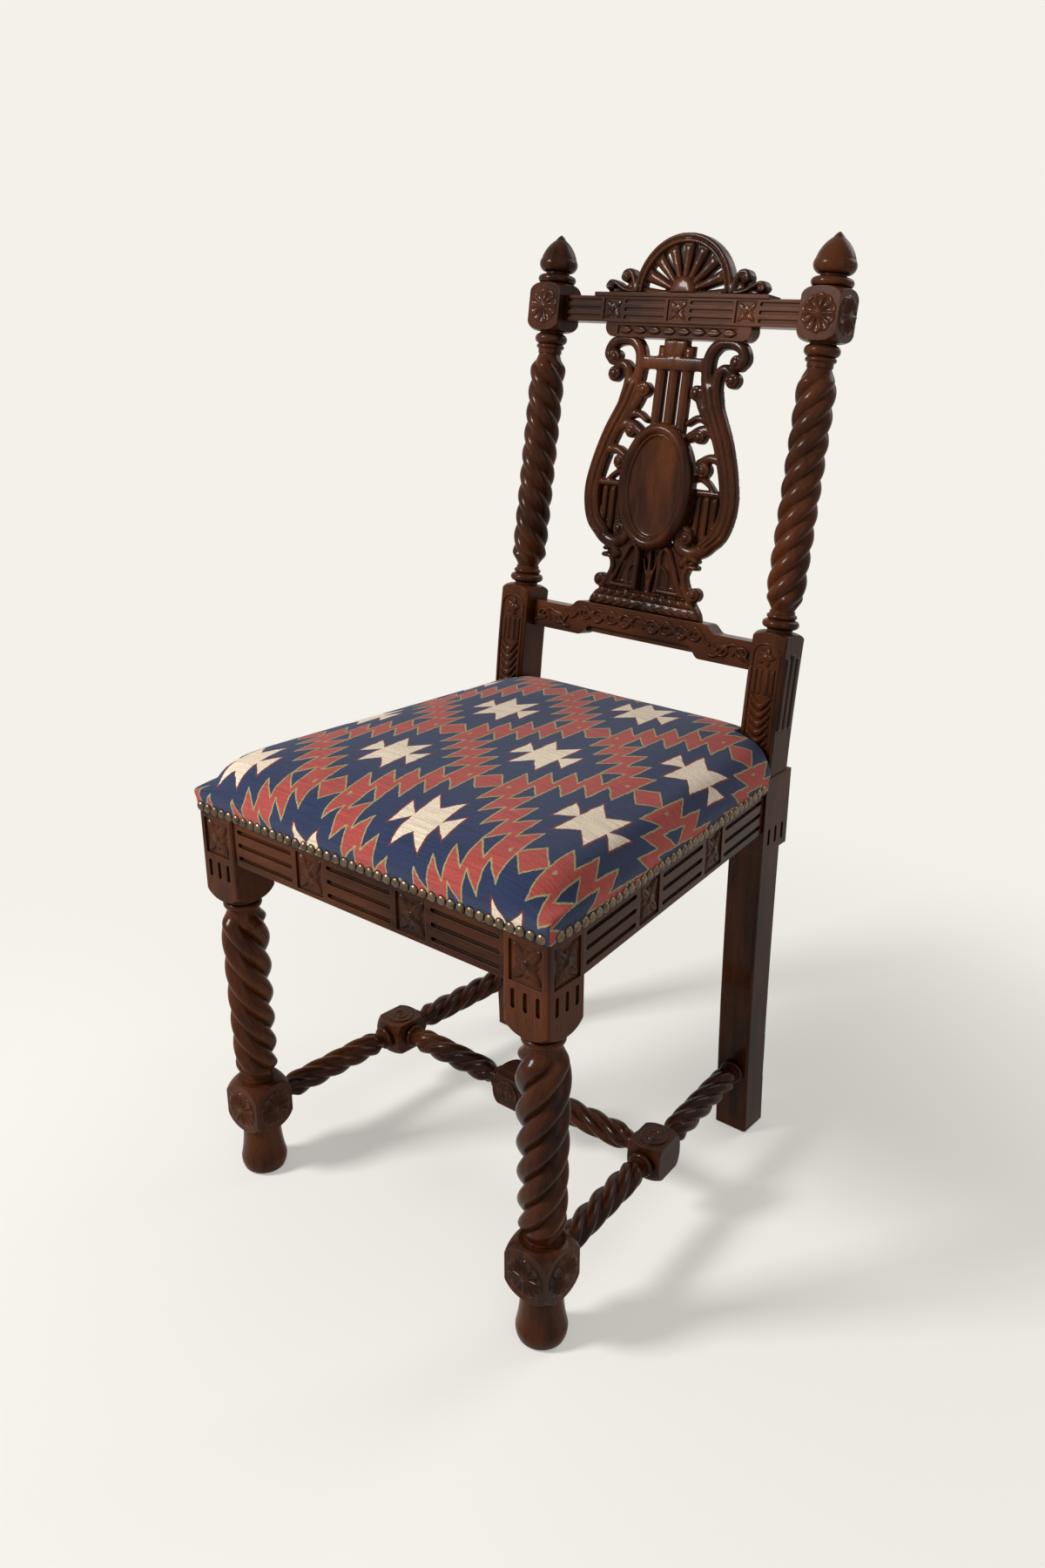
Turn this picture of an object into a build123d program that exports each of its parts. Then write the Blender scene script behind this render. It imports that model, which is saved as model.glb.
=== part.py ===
from build123d import *
import math
import os

# A carved side chair with rope-twisted legs, posts and stretchers, a pierced lyre back and a
# stuffed-over seat. Millimetres, +Z up, +Y to the back of the chair, +X to the right as seen
# from the front. The origin lies on the floor under the middle of the chair.

os.makedirs("parts", exist_ok=True)

# Stance: the axes of the legs in plan (the left half mirrors the right)
front_leg_x = 205.5
front_leg_y = -242.5
rear_post_x = 173.0
rear_post_y = 169.5

# Fits between pieces
tenon_clearance = 0.2
cloth_clearance = 0.3
tenon_relief = 1.0
tenon_root = 6.0
glide_height = 3.0

# Front leg, from the floor up
foot_bottom_radius = 23.0
foot_belly_radius = 25.6
foot_belly_height = 14.0
foot_belly_bulge = 1.0
foot_hollow = 1.2
foot_neck_radius = 22.6
foot_height = 55.0
lower_block = 51.0
lower_block_height = 60.0
leg_rope_gap = 3.0
leg_rope_low_radius = 23.3
leg_rope_high_radius = 26.0
leg_rope_low_lead = 114.0
leg_rope_high_lead = 148.0
leg_ring_height = 13.0
leg_ring_radius = 20.5
leg_neck_radius = 17.5
front_block = 51.0
front_block_height = 113.0
front_block_shoulder = 27.0
front_block_edge = 3.0

# Seat frame
rail_top = 458.0
rail_height = 62.0
rail_thickness = 26.0
rail_reveal = 3.0
rear_rail_thickness = 24.0
rear_rail_setback = 13.0
rail_tenon_length = 20.0
rail_tenon_thickness = 10.0
rail_tenon_shoulder = 8.0
flute_height = 5.0
flute_depth = 3.0
flute_pitch = 14.5
flute_bottom = 9.5
flute_margin = 5.0
rail_rosette_width = 40.0
rail_rosette_x = 68.0
side_rosette_pitch = 132.0
block_slot_pitch = 14.0
block_slot_width = 5.0
block_slot_length = 20.0
block_slot_depth = 2.5
block_slot_rise = 38.0
seat_slot_rise = 18.0

# Sunk squares that hold the carved rosettes
rosette_panel_width = 37.0
rosette_panel_height = 40.0
rosette_panel_depth = 2.2
crest_panel_height = 22.0
crest_panel_depth = 1.6
apron_panel_height = 9.0
apron_panel_half_width = 76.0

# Rear post: swept leg, seat block, bent stile, rope, top block
rear_post_width = 41.0
rear_post_depth = 41.0
rear_post_edge = 3.0
foot_sweep = 9.0
foot_sweep_height = 300.0
foot_drop = 6.0
bend_start_z = 354.2
bend_radius = 1500.0
back_rake = 9.2
seat_block_depth = 51.0
seat_block_offset = 4.5
seat_block_swell = 1.5
seat_block_bottom = 370.0
stile_top = 14.0
stile_shoulder = 12.0
post_base_height = 21.0
post_base_radius = 19.5
post_neck_radius = 13.5
post_rope_radius = 20.5
post_rope_lead = 94.8
post_collar_height = 23.0
top_block_width = 43.0
top_block_depth = 40.0
top_block_height = 52.0
top_block_shoulder = 12.0

# Rope twists
leg_rope_groove = 0.71
post_rope_groove = 0.79
stretcher_rope_groove = 0.74
rope_run_out = 18.0
rope_end_step = 1.2
rope_strands = 4
rope_steps_per_turn = 24
spigot_step = 1.5

# Finial
finial_ring_radius = 20.5
finial_ring_height = 11.0
finial_neck_radius = 13.5
finial_bulb_radius = 20.0
finial_height = 52.0
finial_dowel_radius = 6.0
finial_dowel_length = 15.0

# Back between the posts, measured up the rake from the end of the bend
lower_rail_end_bottom = -31.0
lower_rail_end_height = 30.0
lower_rail_rise = 12.0
lower_rail_middle_height = 27.0
lower_rail_front = 7.0
lower_rail_thickness = 22.0
lower_rail_step_out = 102.0
lower_rail_step_in = 84.0
splat_height = 294.0
splat_front = 7.0
splat_thickness = 15.0
lyre_half_width = 100.0
fret_front = 3.0
fret_thickness = 9.0
arm_width = 20.0
hook_width = 9.0
leaf_width = 8.5
string_width = 6.0
pipe_width = 11.5
splat_tenon_length = 10.0
splat_tenon_thickness = 8.0
splat_foot_tenon_width = 100.0
splat_head_tenon_width = 10.0
crest_height = 27.0
crest_front = 8.0
crest_thickness = 22.0
crest_tenon_length = 18.0
crest_tenon_thickness = 10.0
crest_tenon_shoulder = 5.0
crest_rosette_pitch = 84.3
crest_rosette_width = 27.0
crest_flute_height = 4.0
crest_flute_pitch = 8.2
crest_flute_depth = 2.0
apron_drop = 15.0
apron_half_width = 92.0
apron_taper = 10.0
apron_setback = 2.0
ledge_height = 4.0
ledge_half_width = 110.0
ledge_lip = 2.0
arch_radius = 62.0
arch_rim = 10.5
arch_hub_radius = 16.0
arch_thickness = 16.0
fan_thickness = 10.0
fan_spokes = 9
spoke_root_width = 4.5
spoke_tip_width = 12.5
arch_volute_near_radius = 8.5
arch_volute_far_radius = 6.5

# Oval medallion on the lyre
medallion_half_width = 48.0
medallion_half_height = 69.0
medallion_rim = 14.5
medallion_height = 8.5
medallion_field = 3.0

# Stretchers
stretcher_z = 84.5
stretcher_rope_radius = 14.5
stretcher_rope_lead = 120.0
stretcher_block = 39.0
stretcher_block_length = 46.0
stretcher_block_shoulder = 9.0
stretcher_collar_radius = 14.0
stretcher_collar_height = 11.0
stretcher_neck_radius = 10.0
stretcher_tenon_radius = 7.5
stretcher_tenon_length = 16.0
cross_tenon_length = 10.0
stretcher_disc_radius = 15.0
stretcher_disc_height = 1.5

# Seat
cover_thickness = 1.6
cover_skirt = 12.0
seat_crown = 37.0
seat_bulge = 2.0
seat_corner_ease = 0.5
web_width = 48.0
web_thickness = 1.5
web_pitch_across = 88.0
web_pitch_along = 96.0
hessian_thickness = 1.0
corner_block_height = 38.0
corner_block_near = 30.0
corner_block_far = 62.0
screw_radius = 2.2
screw_head_radius = 4.5
screw_head_height = 2.5
screw_head_lift = 0.4
screw_length = 52.0
nail_radius = 5.2
nail_cap_angle = 35.0
nail_pitch = 11.2
nail_drop = 5.6
nail_lift = 0.2
dust_cover_thickness = 1.0
dust_cover_margin = 9.0

# Glides under the feet
front_glide_radius = 19.0
rear_glide_size = 32.0

# Derived heights and places
rail_bottom = rail_top - rail_height
front_block_bottom = rail_top - front_block_height
block_slot_z = front_block_bottom + block_slot_rise
lower_block_bottom = foot_height + glide_height
lower_block_top = lower_block_bottom + lower_block_height
lower_block_mid = (lower_block_bottom + lower_block_top) / 2
leg_rope_bottom = lower_block_top + leg_rope_gap
leg_rope_top = front_block_bottom - leg_ring_height
rail_mid = (rail_top + rail_bottom) / 2
rosette_z = rail_bottom + flute_bottom + flute_pitch
rail_tenon_height = rail_height - 2 * rail_tenon_shoulder
front_face_y = front_leg_y - front_block / 2
front_rail_y = front_face_y + rail_reveal + rail_thickness / 2
front_rail_half = front_leg_x - front_block / 2
seat_block_y = rear_post_y + seat_block_offset
seat_block_front = seat_block_y - seat_block_depth / 2
seat_block_width = rear_post_width + 2 * seat_block_swell
rear_rail_half = rear_post_x - seat_block_width / 2
rear_rail_y = rear_post_y + rear_rail_setback
seat_block_top = rail_top

# The back's own plane passes through the post axes: x across, y up the rake, z to the front
rake = math.radians(back_rake)
back_y = rear_post_y + bend_radius * (1 - math.cos(rake))
back_z = bend_start_z + bend_radius * math.sin(rake)
out_rake = Vector(0, -math.cos(rake), math.sin(rake))
back_plane = Plane(origin=(0, back_y, back_z), x_dir=(1, 0, 0), z_dir=out_rake)
lower_rail_middle_top = lower_rail_end_bottom + lower_rail_rise + lower_rail_middle_height
splat_top = lower_rail_middle_top + splat_height
crest_bottom = splat_top + apron_drop
crest_top = crest_bottom + crest_height
top_block_bottom = (crest_bottom + crest_top - top_block_height) / 2
top_block_top = top_block_bottom + top_block_height
post_rope_bottom = stile_top + post_base_height
post_rope_top = top_block_bottom - post_collar_height
crest_half = rear_post_x - top_block_width / 2
stile_inner = rear_post_x - rear_post_width / 2


def rear_leg_y(z):
    """Centre of the swept rear leg at a height below the straight part."""
    if z >= foot_sweep_height:
        return rear_post_y
    radius = (foot_sweep_height ** 2 + foot_sweep ** 2) / (2 * foot_sweep)
    return rear_post_y + radius - math.sqrt(radius ** 2 - (foot_sweep_height - z) ** 2)


def turned(plane, outline):
    """Half profile of a turning. A step is (radius, height), or (radius, height, swell)."""
    first = outline[0]
    last = outline[-1]
    with BuildSketch(plane) as profile:
        with BuildLine():
            Line((0, first[1]), (first[0], first[1]))
            for start, end in zip(outline[:-1], outline[1:]):
                if len(end) == 3:
                    SagittaArc(start[:2], end[:2], -end[2])
                else:
                    Line(start[:2], end[:2])
            Line((last[0], last[1]), (0, last[1]))
            Line((0, last[1]), (0, first[1]))
        make_face()
    return profile.sketch


def shoulder(plane, end, inward, neck, corner, length):
    """Region outside the rounded end of a square block, as the lathe leaves it."""
    sweep_out = end + inward * 0.28 * length
    inner = end + inward * length
    outside = end - inward
    beyond = corner + 4
    with BuildSketch(plane) as profile:
        with BuildLine():
            ThreePointArc((neck, end), (neck + 0.72 * (corner - neck), sweep_out), (corner, inner))
            Polyline((corner, inner), (beyond, inner), (beyond, outside), (neck, outside), (neck, end))
        make_face()
    return profile.sketch


def rope_section(plane, crest, groove):
    """Cross-section of a rope of several strands: equal round lobes that meet in grooves."""
    with BuildSketch(plane) as section:
        with BuildLine():
            for strand in range(rope_strands):
                spots = []
                for radius, share in ((groove, -0.5), (crest, 0), (groove, 0.5)):
                    angle = 2 * math.pi * (strand + share) / rope_strands
                    spots.append((radius * math.cos(angle), radius * math.sin(angle)))
                ThreePointArc(*spots)
        make_face()
    return section.sketch


def rope(plane, start, end, crests, leads, share, neck, hand):
    """Sections of a rope twist along the plane's normal, fading into a round neck at both ends."""
    length = end - start
    lead_change = leads[1] - leads[0]
    turns = length / leads[0]
    if abs(lead_change) > 0.001:
        turns = length / lead_change * math.log(leads[1] / leads[0])
    steps = math.ceil(turns * rope_steps_per_turn)
    sections = []
    for step in range(steps + 1):
        along = step / steps
        turned_by = turns * along
        if abs(lead_change) > 0.001:
            turned_by = length / lead_change * math.log(1 + lead_change * along / leads[0])
        fade = min(1, min(along, 1 - along) * length / rope_run_out)
        fade = fade * fade * (3 - 2 * fade)
        full = crests[0] + (crests[1] - crests[0]) * along
        root = neck - rope_end_step
        crest = root + (full - root) * fade
        groove = 0.995 * root + (full * share - 0.995 * root) * fade
        turn = hand * 2 * math.pi * turned_by
        spot = Plane(
            origin=plane.origin + plane.z_dir * (start + length * along),
            x_dir=plane.x_dir * math.cos(turn) + plane.y_dir * math.sin(turn),
            z_dir=plane.z_dir,
        )
        sections.append(rope_section(spot, crest, groove))
    return sections


def axis_of(plane):
    """The line up a profile plane, which its turnings spin about."""
    return Axis(plane.origin, plane.y_dir)


def along_plane(plane):
    """The plane across a profile plane's axis."""
    return Plane(origin=plane.origin, x_dir=plane.x_dir, z_dir=plane.y_dir)


def finish_piece(builder, name):
    builder.part.label = name
    export_step(builder.part, "parts/" + name + ".step")


# Stretcher lines: one from each front leg to the rear leg behind it, one across the middle
leg_profile = Plane(origin=(front_leg_x, front_leg_y, 0), x_dir=(1, 0, 0), z_dir=(0, -1, 0))
side_start = Vector(front_leg_x, front_leg_y, stretcher_z)
side_end = Vector(rear_post_x, rear_leg_y(stretcher_z), stretcher_z)
side_line = (side_end - side_start).normalized()
side_profile = Plane(origin=side_start, x_dir=(0, 0, 1), z_dir=side_line.cross(Vector(0, 0, 1)) * -1)
side_across = along_plane(side_profile)
side_front_y = front_leg_y + lower_block / 2
side_rear_y = rear_leg_y(stretcher_z + stretcher_collar_radius) - rear_post_depth / 2
side_first = (side_front_y - front_leg_y) / side_line.Y
side_last = (side_rear_y - front_leg_y) / side_line.Y
side_middle = (side_first + side_last) / 2
cross_centre = side_start + side_line * side_middle
cross_profile = Plane(origin=(0, cross_centre.Y, stretcher_z), x_dir=(0, 0, 1), z_dir=(0, 1, 0))
cross_across = along_plane(cross_profile)
cross_sign = cross_profile.y_dir.X
side_normal = Vector(-side_line.Y, side_line.X, 0)
cross_seat = cross_centre + side_normal * (stretcher_block / 2)

# Side rail lines in plan, a little inside the faces of the leg blocks
side_rail_front = Vector(front_leg_x + front_block / 2 - rail_reveal, front_leg_y + front_block / 2, 0)
side_rail_rear = Vector(rear_post_x + seat_block_width / 2 - rail_reveal, seat_block_front, 0)
side_rail_line = (side_rail_rear - side_rail_front).normalized()
side_rail_width = rail_thickness / side_rail_line.Y
front_tenon_x = side_rail_front.X - side_rail_width / 2
rear_tenon_x = side_rail_rear.X - side_rail_width / 2

# Corner blocks: across each inner corner of the seat frame, with a screw into the leg
inner_front_y = front_rail_y + rail_thickness / 2
inner_rear_y = rear_rail_y - rear_rail_thickness / 2
front_corner = Vector(front_rail_half, front_leg_y + front_block / 2, rail_mid)
rear_corner = Vector(rear_rail_half, seat_block_front, rail_mid)


def side_inner_x(y):
    """Inner face of the right side rail at a distance to the back."""
    run = (y - side_rail_front.Y) / side_rail_line.Y
    return side_rail_front.X + side_rail_line.X * run - side_rail_width


def corner_block_outline(corner, rail_y, inward):
    """Plan of a corner block that spans from a cross rail to the side rail."""
    near_y = corner.Y + inward * corner_block_near
    far_y = corner.Y + inward * corner_block_far
    return [
        (corner.X - corner_block_far, rail_y),
        (corner.X - corner_block_near, rail_y),
        (side_inner_x(near_y), near_y),
        (side_inner_x(far_y), far_y),
    ]


def screw_plane(outline, toward):
    """Plane on the inner face of a corner block, looking into the leg."""
    head_x = (outline[0][0] + outline[3][0]) / 2
    head_y = (outline[0][1] + outline[3][1]) / 2
    head = Vector(head_x, head_y, rail_mid)
    return Plane(origin=head, z_dir=(Vector(toward[0], toward[1], rail_mid) - head).normalized())


front_corner_outline = corner_block_outline(front_corner, inner_front_y, 1)
rear_corner_outline = corner_block_outline(rear_corner, inner_rear_y, -1)
front_screw = screw_plane(front_corner_outline, (front_corner.X, front_corner.Y))
rear_screw = screw_plane(rear_corner_outline, (rear_corner.X, rear_corner.Y))
screw_hole_radius = screw_radius + tenon_clearance
tenon_hole_radius = stretcher_tenon_radius + tenon_clearance
tenon_hole_depth = stretcher_tenon_length + tenon_relief
mortise_height = rail_tenon_height + 2 * tenon_clearance
mortise_thickness = rail_tenon_thickness + 2 * tenon_clearance
mortise_depth = rail_tenon_length + tenon_relief


# Front legs: foot, ball-like lower block, rope and square seat block in one turning
leg_axis = axis_of(leg_profile)
leg_across = along_plane(leg_profile)
lower_corner = lower_block * math.sqrt(0.5) + 0.5
upper_corner = front_block * math.sqrt(0.5) + 0.5
leg_shoulder_radius = leg_neck_radius + spigot_step
with BuildPart() as front_leg_right:
    with Locations((front_leg_x, front_leg_y, lower_block_mid)):
        Box(lower_block, lower_block, lower_block_height)
    half_block = lower_block_height / 2
    for block_end, inward in ((lower_block_bottom, 1), (lower_block_top, -1)):
        outside_ball = shoulder(leg_profile, block_end, inward, foot_neck_radius, lower_corner, half_block)
        revolve(outside_ball, leg_axis, mode=Mode.SUBTRACT)
    with BuildSketch(leg_across.offset(front_block_bottom)):
        RectangleRounded(front_block, front_block, front_block_edge)
    extrude(amount=front_block_height)
    outside_block = shoulder(
        leg_profile, front_block_bottom, 1, leg_shoulder_radius, upper_corner, front_block_shoulder
    )
    revolve(outside_block, leg_axis, mode=Mode.SUBTRACT)
    foot_outline = [
        (foot_bottom_radius, glide_height),
        (foot_belly_radius, glide_height + foot_belly_height, foot_belly_bulge),
        (foot_neck_radius - spigot_step, lower_block_bottom - 1, -foot_hollow),
        (foot_neck_radius - spigot_step, lower_block_bottom + 1),
    ]
    revolve(turned(leg_profile, foot_outline), leg_axis)
    ring_outline = [
        (leg_neck_radius, lower_block_top - 1),
        (leg_neck_radius, leg_rope_bottom + 1),
    ]
    revolve(turned(leg_profile, ring_outline), leg_axis)
    collar_outline = [
        (leg_neck_radius, leg_rope_top - 1),
        (leg_neck_radius, leg_rope_top + 1.5),
        (leg_neck_radius, front_block_bottom - 3, leg_ring_radius - leg_neck_radius),
        (leg_neck_radius, front_block_bottom + 1),
    ]
    revolve(turned(leg_profile, collar_outline), leg_axis)
    rope_crests = (leg_rope_low_radius, leg_rope_high_radius)
    rope_leads = (leg_rope_low_lead, leg_rope_high_lead)
    leg_sections = rope(
        leg_across,
        leg_rope_bottom,
        leg_rope_top,
        rope_crests,
        rope_leads,
        leg_rope_groove,
        leg_neck_radius,
        1,
    )
    loft(leg_sections)
    # Flutes low on the two outer faces of the seat block
    slot_faces = [
        Plane(origin=(front_leg_x, front_face_y, block_slot_z), x_dir=(1, 0, 0), z_dir=(0, -1, 0)),
        Plane(
            origin=(front_leg_x + front_block / 2, front_leg_y, block_slot_z),
            x_dir=(0, 1, 0),
            z_dir=(1, 0, 0),
        ),
    ]
    for slot_face in slot_faces:
        with BuildSketch(slot_face):
            with GridLocations(block_slot_pitch, 1, 3, 1):
                SlotOverall(block_slot_length, block_slot_width, rotation=90)
        extrude(amount=-block_slot_depth, mode=Mode.SUBTRACT)
        with BuildSketch(slot_face):
            with Locations((0, rosette_z - block_slot_z)):
                Rectangle(rosette_panel_width, rosette_panel_height)
        extrude(amount=-rosette_panel_depth, mode=Mode.SUBTRACT)
    # Mortises for the two rails, holes for the stretcher and the corner screw
    with Locations((front_rail_half + mortise_depth / 2, front_rail_y, rail_mid)):
        Box(mortise_depth, mortise_thickness, mortise_height, mode=Mode.SUBTRACT)
    with Locations((front_tenon_x, side_rail_front.Y - mortise_depth / 2, rail_mid)):
        Box(mortise_thickness, mortise_depth, mortise_height, mode=Mode.SUBTRACT)
    with Locations(side_across.offset(side_first - tenon_hole_depth + tenon_root).location):
        Cylinder(
            tenon_hole_radius,
            tenon_hole_depth,
            align=(Align.CENTER, Align.CENTER, Align.MIN),
            mode=Mode.SUBTRACT,
        )
    with Locations(front_screw.location):
        Cylinder(
            screw_hole_radius,
            screw_length + tenon_relief,
            align=(Align.CENTER, Align.CENTER, Align.MIN),
            mode=Mode.SUBTRACT,
        )
finish_piece(front_leg_right, "front_leg_right")

with BuildPart() as front_leg_left:
    mirror(front_leg_right.part, about=Plane.YZ)
finish_piece(front_leg_left, "front_leg_left")
print("front legs", front_leg_right.part.volume, len(front_leg_right.part.solids()))


# Rear posts: swept leg, seat block, bent stile, rope and top block in one piece
post_profile = Plane(origin=back_plane.origin + Vector(rear_post_x, 0, 0), x_dir=(1, 0, 0), z_dir=out_rake)
post_axis = axis_of(post_profile)
post_across = along_plane(post_profile)
stile_corner = rear_post_width * math.sqrt(0.5) + 1
post_shoulder_radius = post_neck_radius + spigot_step
block_corner = math.hypot(top_block_width, top_block_depth) / 2 + 0.5
foot_radius = (foot_sweep_height ** 2 + foot_sweep ** 2) / (2 * foot_sweep)
foot_slope = math.asin(foot_sweep_height / foot_radius)
foot_point = (rear_leg_y(0) + foot_drop * math.tan(foot_slope), -foot_drop)
bend_middle = (
    rear_post_y + bend_radius * (1 - math.cos(rake / 2)),
    bend_start_z + bend_radius * math.sin(rake / 2),
)
stile_end = (back_y + stile_top * math.sin(rake), back_z + stile_top * math.cos(rake))
with BuildPart() as rear_post_right:
    with BuildLine(Plane.YZ.offset(rear_post_x)) as leg_path:
        Line(foot_point, (rear_leg_y(0), 0))
        ThreePointArc(
            (rear_leg_y(0), 0),
            (rear_leg_y(foot_sweep_height / 2), foot_sweep_height / 2),
            (rear_post_y, foot_sweep_height),
        )
        Line((rear_post_y, foot_sweep_height), (rear_post_y, bend_start_z))
        ThreePointArc((rear_post_y, bend_start_z), bend_middle, (back_y, back_z))
        Line((back_y, back_z), stile_end)
    foot_origin = (rear_post_x, foot_point[0], foot_point[1])
    foot_direction = (0, -math.sin(foot_slope), math.cos(foot_slope))
    with BuildSketch(Plane(origin=foot_origin, x_dir=(1, 0, 0), z_dir=foot_direction)):
        RectangleRounded(rear_post_width, rear_post_depth, rear_post_edge)
    sweep()
    split(bisect_by=Plane.XY.offset(glide_height), keep=Keep.TOP)
    revolve(
        shoulder(post_profile, stile_top, -1, post_shoulder_radius, stile_corner, stile_shoulder),
        post_axis,
        mode=Mode.SUBTRACT,
    )
    with BuildSketch(Plane(origin=(rear_post_x, seat_block_y, seat_block_bottom))):
        Rectangle(seat_block_width, seat_block_depth)
    extrude(amount=seat_block_top - seat_block_bottom)
    with Locations(post_across.offset((top_block_bottom + top_block_top) / 2).location):
        Box(top_block_width, top_block_depth, top_block_height)
    for block_end, inward in ((top_block_bottom, 1), (top_block_top, -1)):
        block_round = shoulder(
            post_profile, block_end, inward, post_shoulder_radius, block_corner, top_block_shoulder
        )
        revolve(block_round, post_axis, mode=Mode.SUBTRACT)
    base_bead = post_base_radius - post_neck_radius
    base_outline = [
        (post_neck_radius, stile_top - 1),
        (post_neck_radius, stile_top + 3),
        (post_neck_radius + 2, stile_top + 4),
        (post_neck_radius + 2, stile_top + 13, base_bead - 2),
        (post_neck_radius, stile_top + 14),
        (post_neck_radius, stile_top + 19, 2.5),
        (post_neck_radius, post_rope_bottom + 1),
    ]
    revolve(turned(post_profile, base_outline), post_axis)
    collar_outline = [
        (post_neck_radius, post_rope_top - 1),
        (post_neck_radius, post_rope_top + 4),
        (post_neck_radius, post_rope_top + 9, 2.5),
        (post_neck_radius + 2, post_rope_top + 10),
        (post_neck_radius + 2, top_block_bottom - 3, base_bead - 3),
        (post_neck_radius, top_block_bottom - 2),
        (post_neck_radius, top_block_bottom + 1),
    ]
    revolve(turned(post_profile, collar_outline), post_axis)
    rope_crests = (post_rope_radius, post_rope_radius)
    rope_leads = (post_rope_lead, post_rope_lead)
    post_sections = rope(
        post_across,
        post_rope_bottom,
        post_rope_top,
        rope_crests,
        rope_leads,
        post_rope_groove,
        post_neck_radius,
        1,
    )
    loft(post_sections)
    # Two flutes down the outer side of the stile's seat block
    slot_face = Plane(
        origin=(rear_post_x + seat_block_width / 2, seat_block_y, seat_block_bottom + seat_slot_rise),
        x_dir=(0, 1, 0),
        z_dir=(1, 0, 0),
    )
    with BuildSketch(slot_face):
        with GridLocations(block_slot_pitch, 1, 3, 1):
            SlotOverall(block_slot_length, block_slot_width, rotation=90)
    extrude(amount=-block_slot_depth, mode=Mode.SUBTRACT)
    # Mortises for the seat rails, the lower back rail and the crest rail
    with Locations((rear_rail_half + mortise_depth / 2, rear_rail_y, rail_mid)):
        Box(mortise_depth, mortise_thickness, mortise_height, mode=Mode.SUBTRACT)
    with Locations((rear_tenon_x, seat_block_front + mortise_depth / 2, rail_mid)):
        Box(mortise_thickness, mortise_depth, mortise_height, mode=Mode.SUBTRACT)
    crest_tenon_z = crest_front - crest_thickness / 2
    crest_spot = Plane(
        origin=back_plane.from_local_coords((crest_half, (crest_bottom + crest_top) / 2, crest_tenon_z)),
        x_dir=(1, 0, 0),
        z_dir=out_rake,
    )
    with Locations(crest_spot.location):
        Box(
            crest_tenon_length + tenon_relief,
            crest_height - 2 * crest_tenon_shoulder + 2 * tenon_clearance,
            crest_tenon_thickness + 2 * tenon_clearance,
            align=(Align.MIN, Align.CENTER, Align.CENTER),
            mode=Mode.SUBTRACT,
        )
    lower_tenon_z = lower_rail_front - lower_rail_thickness / 2
    lower_mid = lower_rail_end_bottom + lower_rail_end_height / 2
    lower_spot = Plane(
        origin=back_plane.from_local_coords((stile_inner, lower_mid, lower_tenon_z)),
        x_dir=(1, 0, 0),
        z_dir=out_rake,
    )
    with Locations(lower_spot.location):
        Box(
            crest_tenon_length + tenon_relief,
            lower_rail_end_height - 2 * crest_tenon_shoulder + 2 * tenon_clearance,
            crest_tenon_thickness + 2 * tenon_clearance,
            align=(Align.MIN, Align.CENTER, Align.CENTER),
            mode=Mode.SUBTRACT,
        )
    # Dowel hole for the finial, holes for the stretcher and the corner screw
    with Locations(post_across.offset(top_block_top - finial_dowel_length - tenon_relief).location):
        Cylinder(
            finial_dowel_radius + tenon_clearance,
            finial_dowel_length + 2 * tenon_relief,
            align=(Align.CENTER, Align.CENTER, Align.MIN),
            mode=Mode.SUBTRACT,
        )
    with Locations(side_across.offset(side_last - tenon_root).location):
        Cylinder(
            tenon_hole_radius,
            tenon_hole_depth,
            align=(Align.CENTER, Align.CENTER, Align.MIN),
            mode=Mode.SUBTRACT,
        )
    with Locations(rear_screw.location):
        Cylinder(
            screw_hole_radius,
            screw_length + tenon_relief,
            align=(Align.CENTER, Align.CENTER, Align.MIN),
            mode=Mode.SUBTRACT,
        )
finish_piece(rear_post_right, "rear_post_right")

with BuildPart() as rear_post_left:
    mirror(rear_post_right.part, about=Plane.YZ)
finish_piece(rear_post_left, "rear_post_left")
print("rear posts", rear_post_right.part.volume, len(rear_post_right.part.solids()))


# Finials: ring, neck and pointed bulb, with a dowel into the top block
finial_base = top_block_top
with BuildPart() as finial_right:
    bulb_mid = finial_base + finial_ring_height + (finial_height - finial_ring_height) * 0.37
    finial_outline = [
        (finial_dowel_radius, finial_base - finial_dowel_length),
        (finial_dowel_radius, finial_base),
        (finial_ring_radius - 3, finial_base),
        (finial_neck_radius + 2, finial_base + finial_ring_height - 2, 5),
        (finial_neck_radius, finial_base + finial_ring_height + 1, -1),
        (finial_bulb_radius, bulb_mid, 4.5),
        (finial_bulb_radius * 0.3, finial_base + finial_height - 5.5, 2.2),
        (0.6, finial_base + finial_height, 0.4),
    ]
    revolve(turned(post_profile, finial_outline), post_axis)
finish_piece(finial_right, "finial_right")

with BuildPart() as finial_left:
    mirror(finial_right.part, about=Plane.YZ)
finish_piece(finial_left, "finial_left")


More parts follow.
